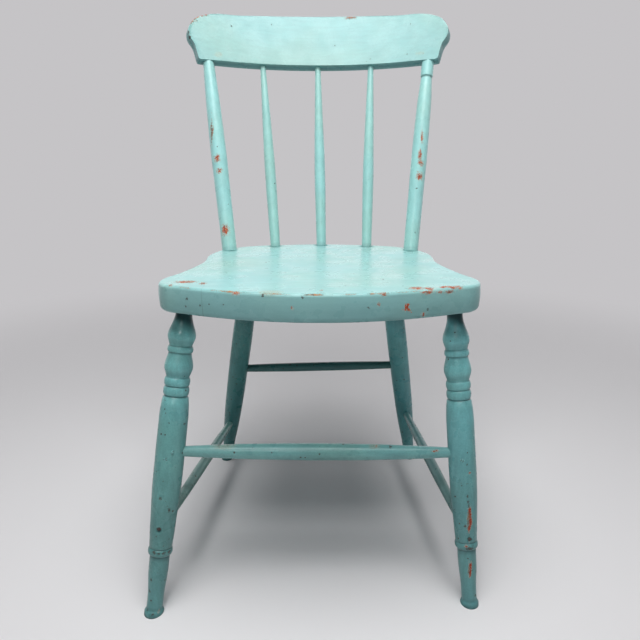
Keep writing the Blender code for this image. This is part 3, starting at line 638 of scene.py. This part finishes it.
def add_piece(name, points, faces, material, dirt, worn, painted_shade):
    """Make the object that stands for a node, from points in the seat's frame."""
    mesh = bpy.data.meshes.new(name)
    mesh.from_pydata((points + np.array(ORIGIN)).tolist(), [], faces)
    mesh.shade_smooth()
    fields = wear_fields(name, points)
    worn = worn + 3.0 * np.sqrt(worn) * np.clip(fields.pop("edge"), 0, 1)
    dirt = np.maximum(dirt, 0.9 * np.clip(fields.pop("smudge"), 0, 1))
    for key, values in {**fields, "dirt": dirt, "worn": worn, "painted_shade": painted_shade}.items():
        set_field(mesh, key, values)
    mesh.materials.append(material)
    piece = bpy.data.objects.new(name + "_painted", mesh)
    bpy.context.scene.collection.objects.link(piece)
    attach(piece, "root")
    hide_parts(name)
    return piece


def ring_faces(rows, sides):
    """Quads between rings of points, each ring closed on itself."""
    faces = []
    for i in range(rows - 1):
        a = i * sides
        for k in range(sides):
            n = (k + 1) % sides
            faces.append((a + k, a + n, a + sides + n, a + sides + k))
    return faces


def axes_of(start, towards):
    """Unit ways along an axis and across it."""
    along = (towards - start).normalized()
    side = along.orthogonal().normalized()
    return along, side, along.cross(side)


def nail_head(node):
    """The middle of a nail's head, in the seat's frame."""
    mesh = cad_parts[node].data
    places = np.array([v.co for v in mesh.vertices]) - np.array(ORIGIN)
    ahead = places[:, 1] < places[:, 1].min() + NAIL_FACE
    return places[ahead].mean(0)


def nail_hole(name, points):
    """How far each point lies in the hole over a sunken nail, and that hole's depth."""
    if name not in DENTS:
        return np.zeros(len(points)), 0.0
    nail, size, depth = DENTS[name]
    away = np.linalg.norm(points - nail_head(nail), axis=1) * 1000
    return np.clip(2.2 * (1 - away / size), 0, 1), depth / 1000


def recess(profile, near, depth):
    """How far each row lies below the fullest row near it, as a share of depth."""
    below = [max(r for z, r in profile if abs(z - d) < near) - own for d, own in profile]
    return np.clip(np.array(below) / depth - 0.15, 0, 1)


def neck_shade(distance, across, amount, reach):
    """Darkening from a piece's start outwards, which reaches further on one side: on the legs, a
    painted shadow of the seat.
    """
    ease = np.clip(1.7 - 1.7 * distance / (reach * (1 + 0.25 * across)), 0, 1)
    return amount * ease**2 * (3 - 2 * ease)


def turned_dirt_and_shade(profile, sides, points, hole, across, neck):
    """How dirty each point is, in grooves, over sunken nails and on the sole, and how dark its painted
    shade is: lines in sharp grooves, darkening towards the floor that is partly grime, and the neck.
    """
    height = points[:, 2]
    dirt = np.maximum(np.repeat(recess(profile, *GROOVE_DIRT), sides), hole * 1.3)
    dirt = np.maximum(dirt, np.clip(1 - height / FLOOR_DIRT, 0, 1))
    painted_shade = 0.75 * np.repeat(recess(profile, *GROOVE_SHADE_LINE), sides)
    painted_shade = np.maximum(painted_shade, LOW_SHADE * np.clip(1.6 - 1.6 * height / LOW_SHADE_HEIGHT, 0, 1))
    distance = np.repeat([abs(z) for z, radius in profile], sides)
    return dirt, np.maximum(painted_shade, neck_shade(distance, across, *neck))


def turned(name, profile, start, towards, sides, material, seed, cut=None, neck=NO_NECK):
    """A lathe-turned piece, from (distance, radius) rows along its axis.

    cut is a plane (point, normal) beyond which it is sawn off, and neck a pair as POST_NECK.
    """
    rows = np.array(profile)
    along, side, other = (np.array(v) for v in axes_of(start, towards))
    angles = np.arange(sides) * 2 * math.pi / sides
    round_ways = np.outer(np.cos(angles), side) + np.outer(np.sin(angles), other)
    outward = np.tile(round_ways, (len(rows), 1))
    middle = np.repeat(np.array(start) + rows[:, :1] * along, sides, axis=0)
    points = middle + outward * np.repeat(rows[:, 1], sides)[:, None]
    sunk = np.abs(smooth_noise(points, seed) * TURNED_UNEVEN)
    hole, depth = nail_hole(name, points)
    points -= outward * np.maximum(sunk, depth * hole)[:, None]
    if cut is not None:
        point, normal = (np.array(v) for v in cut)
        over = (points - point) @ normal
        points -= np.where(over > 0, over / (along @ normal), 0.0)[:, None] * along
    dirt, painted_shade = turned_dirt_and_shade(profile, sides, points, hole, outward[:, 0], neck)
    end = (len(rows) - 1) * sides
    faces = ring_faces(len(rows), sides)
    faces += [tuple(range(sides))[::-1], tuple(range(end, end + sides))]
    worn = np.zeros(len(points))
    return add_piece(name, points, faces, material, dirt, worn, painted_shade)


def curve_outline(half):
    """The closed outline through half an outline and its mirror image."""
    curve = bpy.data.curves.new("outline", "CURVE")
    curve.dimensions = "2D"
    curve.fill_mode = "NONE"
    curve.resolution_u = OUTLINE_STEPS
    points = list(half) + [(-x, y) for x, y in reversed(half) if x > 0]
    spline = curve.splines.new("BEZIER")
    spline.bezier_points.add(len(points) - 1)
    spline.use_cyclic_u = True
    for knot, (x, y) in zip(spline.bezier_points, points):
        knot.co = (x, y, 0.0)
        knot.handle_left_type = knot.handle_right_type = "AUTO"
    source = bpy.data.objects.new("outline", curve)
    bpy.context.scene.collection.objects.link(source)
    view = bpy.context.evaluated_depsgraph_get()
    mesh = bpy.data.meshes.new_from_object(source.evaluated_get(view))
    out = np.array([v.co[:2] for v in mesh.vertices])
    bpy.data.objects.remove(source, do_unlink=True)
    bpy.data.meshes.remove(mesh)
    return out


def resample(outline, spacing):
    """Walk round an outline, with a spacing that depends on the place."""
    closed = np.vstack([outline, outline[:1]])
    lengths = np.linalg.norm(np.diff(closed, axis=0), axis=1)
    marks = np.concatenate([[0], np.cumsum(lengths)])
    total = marks[-1]
    at, places = 0.0, []
    while at < total:
        place = np.array([np.interp(at, marks, closed[:, k]) for k in (0, 1)])
        places.append(place)
        at += spacing(place)
    if total - (at - spacing(places[-1])) < 0.4 * spacing(places[0]):
        places.pop()
    return np.array(places)


def inward(outline):
    """Unit ways into the outline at each of its points."""
    ahead = np.roll(outline, -1, axis=0) - np.roll(outline, 1, axis=0)
    ways = np.stack([-ahead[:, 1], ahead[:, 0]], 1)
    ways /= np.linalg.norm(ways, axis=1)[:, None]
    centre = outline.mean(0)
    if ((centre - outline) * ways).sum() < 0:
        ways = -ways
    for _ in range(2):
        ways = ways + np.roll(ways, 1, axis=0) + np.roll(ways, -1, axis=0)
        ways /= np.linalg.norm(ways, axis=1)[:, None]
    return ways


def plate(outline, section, centre, top_shares, under_shares):
    """A plank: rings down its edge section, then shrinking rings over both faces.

    section rows are (inset, height). Returns points, faces and each ring's edge share.
    """
    ways = inward(outline)
    count = len(outline)
    rings, edge = [], []
    first_inset, top = section[0]
    last_inset, under = section[-1]
    for share in reversed(top_shares):
        ring = centre + (outline + ways * first_inset - centre) * share
        rings.append(np.column_stack([ring, np.full(count, top)]))
        edge.append(0.0)
    for k, (inset, height) in enumerate(section):
        rings.append(np.column_stack([outline + ways * inset, np.full(count, height)]))
        edge.append(k / (len(section) - 1))
    for share in under_shares:
        ring = centre + (outline + ways * last_inset - centre) * share
        rings.append(np.column_stack([ring, np.full(count, under)]))
        edge.append(1.0)
    points = np.vstack(rings)
    faces = ring_faces(len(rings), count)
    points = np.vstack([points, [[*centre, top]], [[*centre, under]]])
    last = (len(rings) - 1) * count
    for k in range(count):
        n = (k + 1) % count
        faces.append((len(points) - 2, n, k))
        faces.append((len(points) - 1, last + k, last + n))
    return points, faces, np.append(np.repeat(edge, count), [0.0, 1.0])


def edge_section(top, under, top_roll, under_roll, bulge, rows):
    """A plank's edge as (inset, height) rows: top roll, slightly full face and under roll."""
    angles = [math.pi / 2 * k / rows for k in range(rows + 1)]
    high, low = top - top_roll, under + under_roll
    middle = max(2, round((high - low) / EDGE_STEP))
    out = []
    for angle in angles:
        inset = top_roll * (1 - math.sin(angle)) + bulge
        out.append((inset, top - top_roll * (1 - math.cos(angle))))
    for k in range(1, middle):
        t = k / middle
        out.append((bulge * (1 - math.sin(math.pi * t)), high + (low - high) * t))
    for angle in angles:
        inset = under_roll * (1 - math.cos(angle)) + bulge
        out.append((inset, low - under_roll * math.sin(angle)))
    return out


def seat_outline():
    """Half the seat's outline, from the middle of its front to the middle of its rear."""
    wide = SEAT_HALF_WIDTH
    front = [(wide * k, SEAT_FRONT_BOW * k**2) for k in (0.0, 0.3, 0.6, 0.82, 0.95)]
    corner_y = SEAT_FRONT_BOW + SEAT_CORNER_TURN
    half_way = corner_y + 0.42 * (SEAT_WAIST_Y - corner_y)
    side = [
        (wide, corner_y),
        ((wide + SEAT_WAIST_HALF) / 2, half_way),
        (SEAT_WAIST_HALF, SEAT_WAIST_Y),
        (SEAT_WAIST_HALF, SEAT_REAR_Y),
    ]
    rear = [
        (SEAT_REAR_CORNER_X, SEAT_DEPTH - SEAT_REAR_CORNER_IN),
        (SEAT_REAR_CORNER_X * 0.78, SEAT_DEPTH - SEAT_REAR_BOW),
        (SEAT_REAR_CORNER_X * 0.38, SEAT_DEPTH - SEAT_REAR_BOW * 0.27),
        (0.0, SEAT_DEPTH),
    ]
    return front + side + rear


def crest_outline():
    """Half the flat board's outline, from the middle of its foot to the middle of its top."""
    wide = CREST_HALF_WIDTH
    foot = CREST_FOOT_HALF
    top = CREST_HEIGHT
    turn = top - CREST_SHOULDER
    return [
        (0.0, 0.0),
        (foot * 0.5, CREST_END_RISE * 0.2),
        (foot * 0.85, CREST_END_RISE * 0.7),
        (foot - CREST_FOOT_TURN, CREST_END_RISE),
        (foot, CREST_END_RISE + CREST_FOOT_TURN),
        (wide - CREST_WAIST_IN, CREST_WAIST_UP),
        (wide, CREST_SHOULDER),
        (wide - CREST_EAR_IN, CREST_SHOULDER + turn * 0.45),
        (wide - CREST_CORNER_IN, top - CREST_CORNER_FALL),
        (wide * 0.60, top - CREST_TOP_FALL),
        (wide * 0.30, top - CREST_TOP_FALL * 0.2),
        (0.0, top),
    ]


def joint_dirt(points):
    """Grime on the seat round the feet of the posts and spindles."""
    joints = [(POST_BASE.x * sign, POST_BASE.y) for sign in (-1, 1)]
    joints += [spindle_base(x)[:2] for x in SPINDLE_BASE_X]
    dirt = np.zeros(len(points))
    for x, y in joints:
        away = np.hypot(points[:, 0] - x, points[:, 1] - y)
        dirt = np.maximum(dirt, np.clip(1 - (away - 0.010) / 0.006, 0, 1))
    return dirt


def make_seat():
    """The plank: worn along its upper edge, most at the front, with painted shade on the edge below
    it.
    """
    g = paint_graph("seat_paint", SEAT_PAINT, "X", SEAT_GRAIN, SEAT_DIRT_AND_SHADE)
    add_crack(g)
    outline = resample(curve_outline(seat_outline()),
                       lambda place: SEAT_SPACING[0 if place[1] < SEAT_FRONT_ZONE else 1])
    section = edge_section(SEAT_TOP, UNDERSIDE, SEAT_TOP_ROLL, SEAT_UNDER_ROLL, SEAT_FULL,
                           SEAT_ROLL_ROWS)
    # The faces' rings, as shares of the outline: closer near the edge
    near = [1 - 0.0075 * k for k in range(1, 30)]
    far = [near[-1] * (1 - k / 22) for k in range(1, 22)]
    under = [1 - k / 14 for k in range(1, 14)]
    points, faces, edge = plate(outline, section, np.array(SEAT_CENTRE), near + far, under)
    hollows = PLANK_UNEVEN * np.abs(smooth_noise(points * 0.5, SEAT_SEED))
    points[:, 2] -= np.where(edge <= 0.0, hollows, 0.0)
    front = np.clip(1 - points[:, 1] / 0.16, 0, 1)
    worn = np.exp(-(((edge - 0.10) / 0.08) ** 2)) * (0.35 + 0.65 * front)
    dirt = joint_dirt(points) * (edge <= 0)
    # painted shade: the edge's face and under roll are darker than the top
    painted_shade = np.clip((edge - 0.10) / 0.15, 0, 1) * (0.06 + 0.46 * edge)
    material = finish_paint(g)
    return add_piece("seat", points, faces, material, dirt, worn, painted_shade)


def bowed(flat):
    """Bend flat rail points (x, up, out) level to the front and lean them back."""
    x, up, out = flat[:, 0], flat[:, 1], flat[:, 2]
    cos, sin = math.cos(CREST_LEAN), math.sin(CREST_LEAN)
    slope = 2 * CREST_BOW * x / CREST_HALF_WIDTH**2 * cos
    size = np.sqrt(slope**2 + 1)
    bow = CREST_BOW * (x / CREST_HALF_WIDTH) ** 2
    across = x - slope / size * out
    high = up - sin * bow
    fore = cos * bow + out / size
    places = np.column_stack([across, high * sin - fore * cos, high * cos + fore * sin])
    return places + np.array(CREST_MID)


def crest_seat_point(x):
    """Where a post or spindle meets the crest rail's underside."""
    rise = CREST_END_RISE * (x / CREST_HALF_WIDTH) ** 2
    bow = CREST_BOW * (x / CREST_HALF_WIDTH) ** 2
    return CREST_MID + Vector((x, rise * math.sin(CREST_LEAN) - bow, rise * math.cos(CREST_LEAN)))


def make_crest():
    """The bowed board: worn along both long edges, with painted shade along its under edge and on its
    ends.
    """
    g = paint_graph("crest_paint", CREST_PAINT, "X", CREST_GRAIN, CREST_DIRT_AND_SHADE)
    outline = resample(curve_outline(crest_outline()),
                       lambda place: CREST_SPACING[0 if abs(place[0]) > CREST_END_ZONE else 1])
    half = CREST_THICK / 2
    section = edge_section(half, -half, CREST_EDGE, CREST_EDGE, CREST_FULL, CREST_ROLL_ROWS)
    shares = [1 - 0.02 * k for k in range(1, 8)] + [0.86 * (1 - k / 26) for k in range(1, 26)]
    centre = np.array([0.0, CREST_HEIGHT * 0.5])
    flat, faces, edge = plate(outline, section, centre, shares, shares)
    hollows = PLANK_UNEVEN * np.abs(smooth_noise(flat * 0.6, CREST_SEED))
    flat[:, 2] -= np.where(edge <= 0.0, hollows, 0.0)
    worn = np.exp(-(((edge - 0.12) / 0.09) ** 2)) + np.exp(-(((edge - 0.88) / 0.09) ** 2))
    worn *= np.where(flat[:, 1] > CREST_HEIGHT * 0.55, 0.55, 0.15)
    rim = np.sin(math.pi * np.clip((edge - 0.15) / 0.7, 0, 1))
    low = np.where(flat[:, 1] < 0.012, 1.0, 0.0)
    end = np.clip((np.abs(flat[:, 0]) - 0.205) / 0.006, 0, 1)
    # grime on the end faces
    dirt = 0.6 * rim * end
    # painted shade: the under band and the end faces darker than the front
    painted_shade = rim * np.maximum(0.82 * low, 0.42 * end)
    points, material = bowed(flat), finish_paint(g)
    return add_piece("crest_rail", points, faces, material, dirt, worn, painted_shade)


def post_profile(length, capped):
    """A post's rows; a capped one has a turned collar at its top."""
    body = [(-INSIDE, POST_FOOT_R), (0.0, POST_FOOT_R)]
    body += [(share * length, radius) for share, radius in POST_SWELL]
    past = length + BEYOND
    if not capped:
        return blend(body + [(length, POST_TOP_R), (past, POST_TOP_R)], POST_STEP)
    cap = length - POST_CAP_LENGTH
    neck = [(cap - 0.004, POST_TOP_R), (cap - 0.0006, POST_TOP_R - 0.0004)]
    lip = [(cap, POST_CAP_R - 0.0010), (cap + 0.0006, POST_CAP_R - 0.0002), (cap + 0.0014, POST_CAP_R)]
    collar = [(cap + 0.002, POST_CAP_R), (past, POST_CAP_R)]
    return blend(body + neck, POST_STEP) + lip + blend(collar, POST_STEP)


def make_posts():
    for side, sign, seed in zip(("left", "right"), (-1, 1), POST_SEEDS):
        name = "back_post_" + side
        base = Vector((sign * POST_BASE.x, POST_BASE.y, POST_BASE.z))
        top = crest_seat_point(sign * POST_TOP_X)
        profile = post_profile((top - base).length, side == "right")
        cut = (top + CREST_SLANT * POST_CUT, CREST_SLANT)
        g = paint_graph(name + "_paint", POST_PAINT, "Z", POST_GRAIN)
        turned(name, profile, base, top, POST_SIDES, finish_paint(g), seed, cut, POST_NECK)


def spindle_base(x):
    fore = SPINDLE_FORE + SPINDLE_ROW_BOW * (x / max(SPINDLE_BASE_X)) ** 2
    return Vector((x, SEAT_DEPTH - fore, SEAT_TOP))


def make_spindles():
    sides = ("left", "centre", "right")
    for side, base_x, top_x, seed in zip(sides, SPINDLE_BASE_X, SPINDLE_TOP_X, SPINDLE_SEEDS):
        name = "spindle_" + side
        base, top = spindle_base(base_x), crest_seat_point(top_x)
        length = (top - base).length
        rows = [(-INSIDE, SPINDLE_FOOT_R), (0.0, SPINDLE_FOOT_R)]
        rows += [(share * length, radius) for share, radius in SPINDLE_SWELL]
        rows += [(length - 0.010, SPINDLE_TOP_R), (length + 0.005, SPINDLE_TOP_R)]
        profile = blend(rows, PLAIN_STEP)
        g = paint_graph(name + "_paint", POST_PAINT, "Z", POST_GRAIN)
        turned(name, profile, base, top, SPINDLE_SIDES, finish_paint(g), seed, neck=POST_NECK)


def above_floor(rows, length):
    """Rows measured up from the floor, turned into distances below the seat."""
    return [(length - height, radius) for height, radius in rows]


def front_leg_profile(length, drop, girth):
    """Neck, bulb, ring, bulb, two beads, long vase, low ring, ankle and pad foot.

    The upper turnings are measured down from the seat and the lower ones up from the
    floor, so only the vase between them stretches with the leg.
    """
    groove = FRONT_GROOVE_R
    low = length - drop
    rows = blend(FRONT_UPPER_BULB, FRONT_LEG_STEP)
    first, last, rise = FRONT_RING
    rows += bead(first, last, groove, groove + rise)
    rows += blend(FRONT_LOWER_BULB, FRONT_LEG_STEP)
    for first, last, rise in FRONT_BEADS:
        rows += bead(first, last, groove, groove + rise)
    rows += FRONT_SHOULDER
    rows += blend(list(FRONT_VASE_TOP) + above_floor(FRONT_VASE_END, low), FRONT_LEG_STEP)
    first, last = (low - height for height in FRONT_LOW_RING)
    rows += bead(first, last, FRONT_LOW_GROOVE_R, FRONT_LOW_RING_R)
    rows += blend(above_floor(FRONT_ANKLE, low), FRONT_LEG_STEP)
    rows += above_floor(FRONT_FOOT, low)
    return [(-INSIDE, FRONT_TENON_R)] + [(z + drop, r * girth) for z, r in rows]


def rear_leg_profile(length):
    return blend(list(REAR_UPPER) + above_floor(REAR_LOWER, length), PLAIN_STEP)


def tinted(tone_shares):
    """The legs' paint in the shares of one leg or stretcher, which for the rear pieces hold painted
    shade.
    """
    return tuple(value * share for value, share in zip(LEG_PAINT, tone_shares))


def make_legs():
    floor_cut = (Vector((0, 0, 0)), Vector((0, 0, -1)))
    for seed, (name, (top, foot)) in enumerate(LEGS.items(), LEG_SEED):
        length = (foot - top).length
        if name.startswith("rear"):
            profile, sides, neck = rear_leg_profile(length), REAR_LEG_SIDES, REAR_LEG_NECK
        else:
            turning = (FRONT_RIGHT_DROP, FRONT_RIGHT_GIRTH) if name.endswith("right") else (0.0, 1.0)
            profile, sides, neck = front_leg_profile(length, *turning), FRONT_LEG_SIDES, FRONT_LEG_NECK
        g = paint_graph(name + "_paint", tinted(LEG_TONES_AND_SHADE[name]), "Z", LEG_GRAIN, LEG_DIRT_AND_SHADE)
        turned(name, profile, top, foot, sides, finish_paint(g), seed, floor_cut, neck)


def leg_point(leg, height):
    """The point on a leg's axis at a height above the floor."""
    top, foot = LEGS[leg]
    return foot.lerp(top, height / UNDERSIDE)


def barrel_profile(length, end_r, middle_r):
    """Rows of a stretcher, fullest in its middle."""
    out = []
    for k in range(STRETCHER_ROWS + 1):
        z = length * k / STRETCHER_ROWS
        share = min(1.0, abs(z - length / 2) / (length / 2 - STRETCHER_STRAIGHT))
        out.append((z, middle_r - (middle_r - end_r) * share**2))
    return out


def make_stretchers():
    for seed, (name, row) in enumerate(STRETCHERS.items(), STRETCHER_SEED):
        first_leg, last_leg, first_z, last_z, end_r, middle_r = row
        first, last = leg_point(first_leg, first_z), leg_point(last_leg, last_z)
        profile = barrel_profile((last - first).length, end_r, middle_r)
        along = "Y" if name.startswith("side") else "X"
        g = paint_graph(name + "_paint", tinted(STRETCHER_TONES_AND_SHADE[name]), along, LEG_GRAIN, LEG_DIRT_AND_SHADE)
        turned(name, profile, first, last, STRETCHER_SIDES, finish_paint(g), seed)


def finish_nails():
    """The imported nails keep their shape: three are painted over, two show steel and rust."""
    for number in range(1, NAIL_COUNT + 1):
        name = "nail_%d" % number
        pair = (LEG_PAINT, WOOD_DARK) if number <= PAINTED_NAILS else (NAIL_STEEL, RUST)
        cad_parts[name].material_slots[0].material = nail_material(name + "_head", *pair)


def stage_material():
    """Pale cloth, which blends far out and behind into an even backdrop, and which behind the chair
    glows brighter in reflections only: a painted sheen on the chair's glossy faces.
    """
    g = Graph("floor")
    g.put(g.shader.inputs["Base Color"], FLOOR)
    g.put(g.shader.inputs["Roughness"], 0.9)
    coords = g.add("TexCoord").outputs["Object"]
    length = g.add("VectorMath", {0: coords}, operation="LENGTH").outputs["Value"]
    rays = g.add("LightPath").outputs
    behind = g.ramp(g.add("SeparateXYZ", {"Vector": coords}).outputs[1], 0.3, 1.2)
    # painted reflection: seen in gloss, the backdrop behind the chair glows brighter, to put a sheen
    # on the seat's top
    mirrored = g.math("MULTIPLY", rays["Is Glossy Ray"], behind)
    seen = g.math("MAXIMUM", rays["Is Camera Ray"], mirrored)
    share = g.math("MULTIPLY", g.ramp(length, 0.5, 2.0), seen)
    level = g.math("ADD", g.math("MULTIPLY", mirrored, 0.9), 1.0)
    glow = g.add("Emission", {"Color": BACKDROP, "Strength": level}).outputs[0]
    both = g.add("MixShader", {0: share, 1: g.shader.outputs[0], 2: glow}).outputs[0]
    g.links.new(both, g.nodes["Material Output"].inputs["Surface"])
    return g.material


def make_stage():
    rows = [(0.0, 0.0), (FLOOR_RADIUS, 0.0)]
    for angle in np.linspace(0, math.pi / 2, COVE_ROWS + 1)[1:]:
        rise = COVE_RADIUS - COVE_RADIUS * math.cos(angle)
        rows.append((FLOOR_RADIUS + COVE_RADIUS * math.sin(angle), rise))
    rows.append((FLOOR_RADIUS + COVE_RADIUS, BACKDROP_HEIGHT))
    turns = [k * 2 * math.pi / STAGE_SIDES for k in range(STAGE_SIDES)]
    points = [(r * math.cos(turn), r * math.sin(turn), z) for r, z in rows for turn in turns]
    mesh = bpy.data.meshes.new("floor")
    mesh.from_pydata(points, [], ring_faces(len(rows), STAGE_SIDES))
    mesh.shade_smooth()
    mesh.materials.append(stage_material())
    floor = bpy.data.objects.new("floor", mesh)
    bpy.context.scene.collection.objects.link(floor)


def area_light(name, place, aim, size, power):
    data = bpy.data.lights.new(name, "AREA")
    data.shape = "DISK"
    data.size = size
    data.energy = power
    lamp = bpy.data.objects.new(name, data)
    lamp.location = place
    lamp.rotation_mode = "QUATERNION"
    lamp.rotation_quaternion = (Vector(place) - Vector(aim)).to_track_quat("Z", "Y")
    bpy.context.scene.collection.objects.link(lamp)


def make_lights():
    for name, settings in LIGHTS.items():
        area_light(name, *settings)
    world = bpy.data.worlds.new("studio")
    bpy.context.scene.world = world
    world.use_nodes = True
    background = world.node_tree.nodes["Background"]
    background.inputs["Color"].default_value = (*SKY, 1)
    background.inputs["Strength"].default_value = SKY_STRENGTH


def make_camera():
    data = bpy.data.cameras.new("camera")
    data.sensor_width = SENSOR_WIDTH
    data.lens = FOCAL_SHARE * SENSOR_WIDTH
    camera = bpy.data.objects.new("camera", data)
    camera.location = ORIGIN + CAMERA_PLACE
    camera.rotation_euler = (math.radians(90 - CAMERA_DOWN), 0, math.radians(CAMERA_LEFT))
    bpy.context.scene.collection.objects.link(camera)
    bpy.context.scene.camera = camera


make_seat()
make_crest()
make_posts()
make_spindles()
make_legs()
make_stretchers()
finish_nails()
make_stage()
make_lights()
make_camera()
bpy.context.scene.view_settings.view_transform = "Standard"
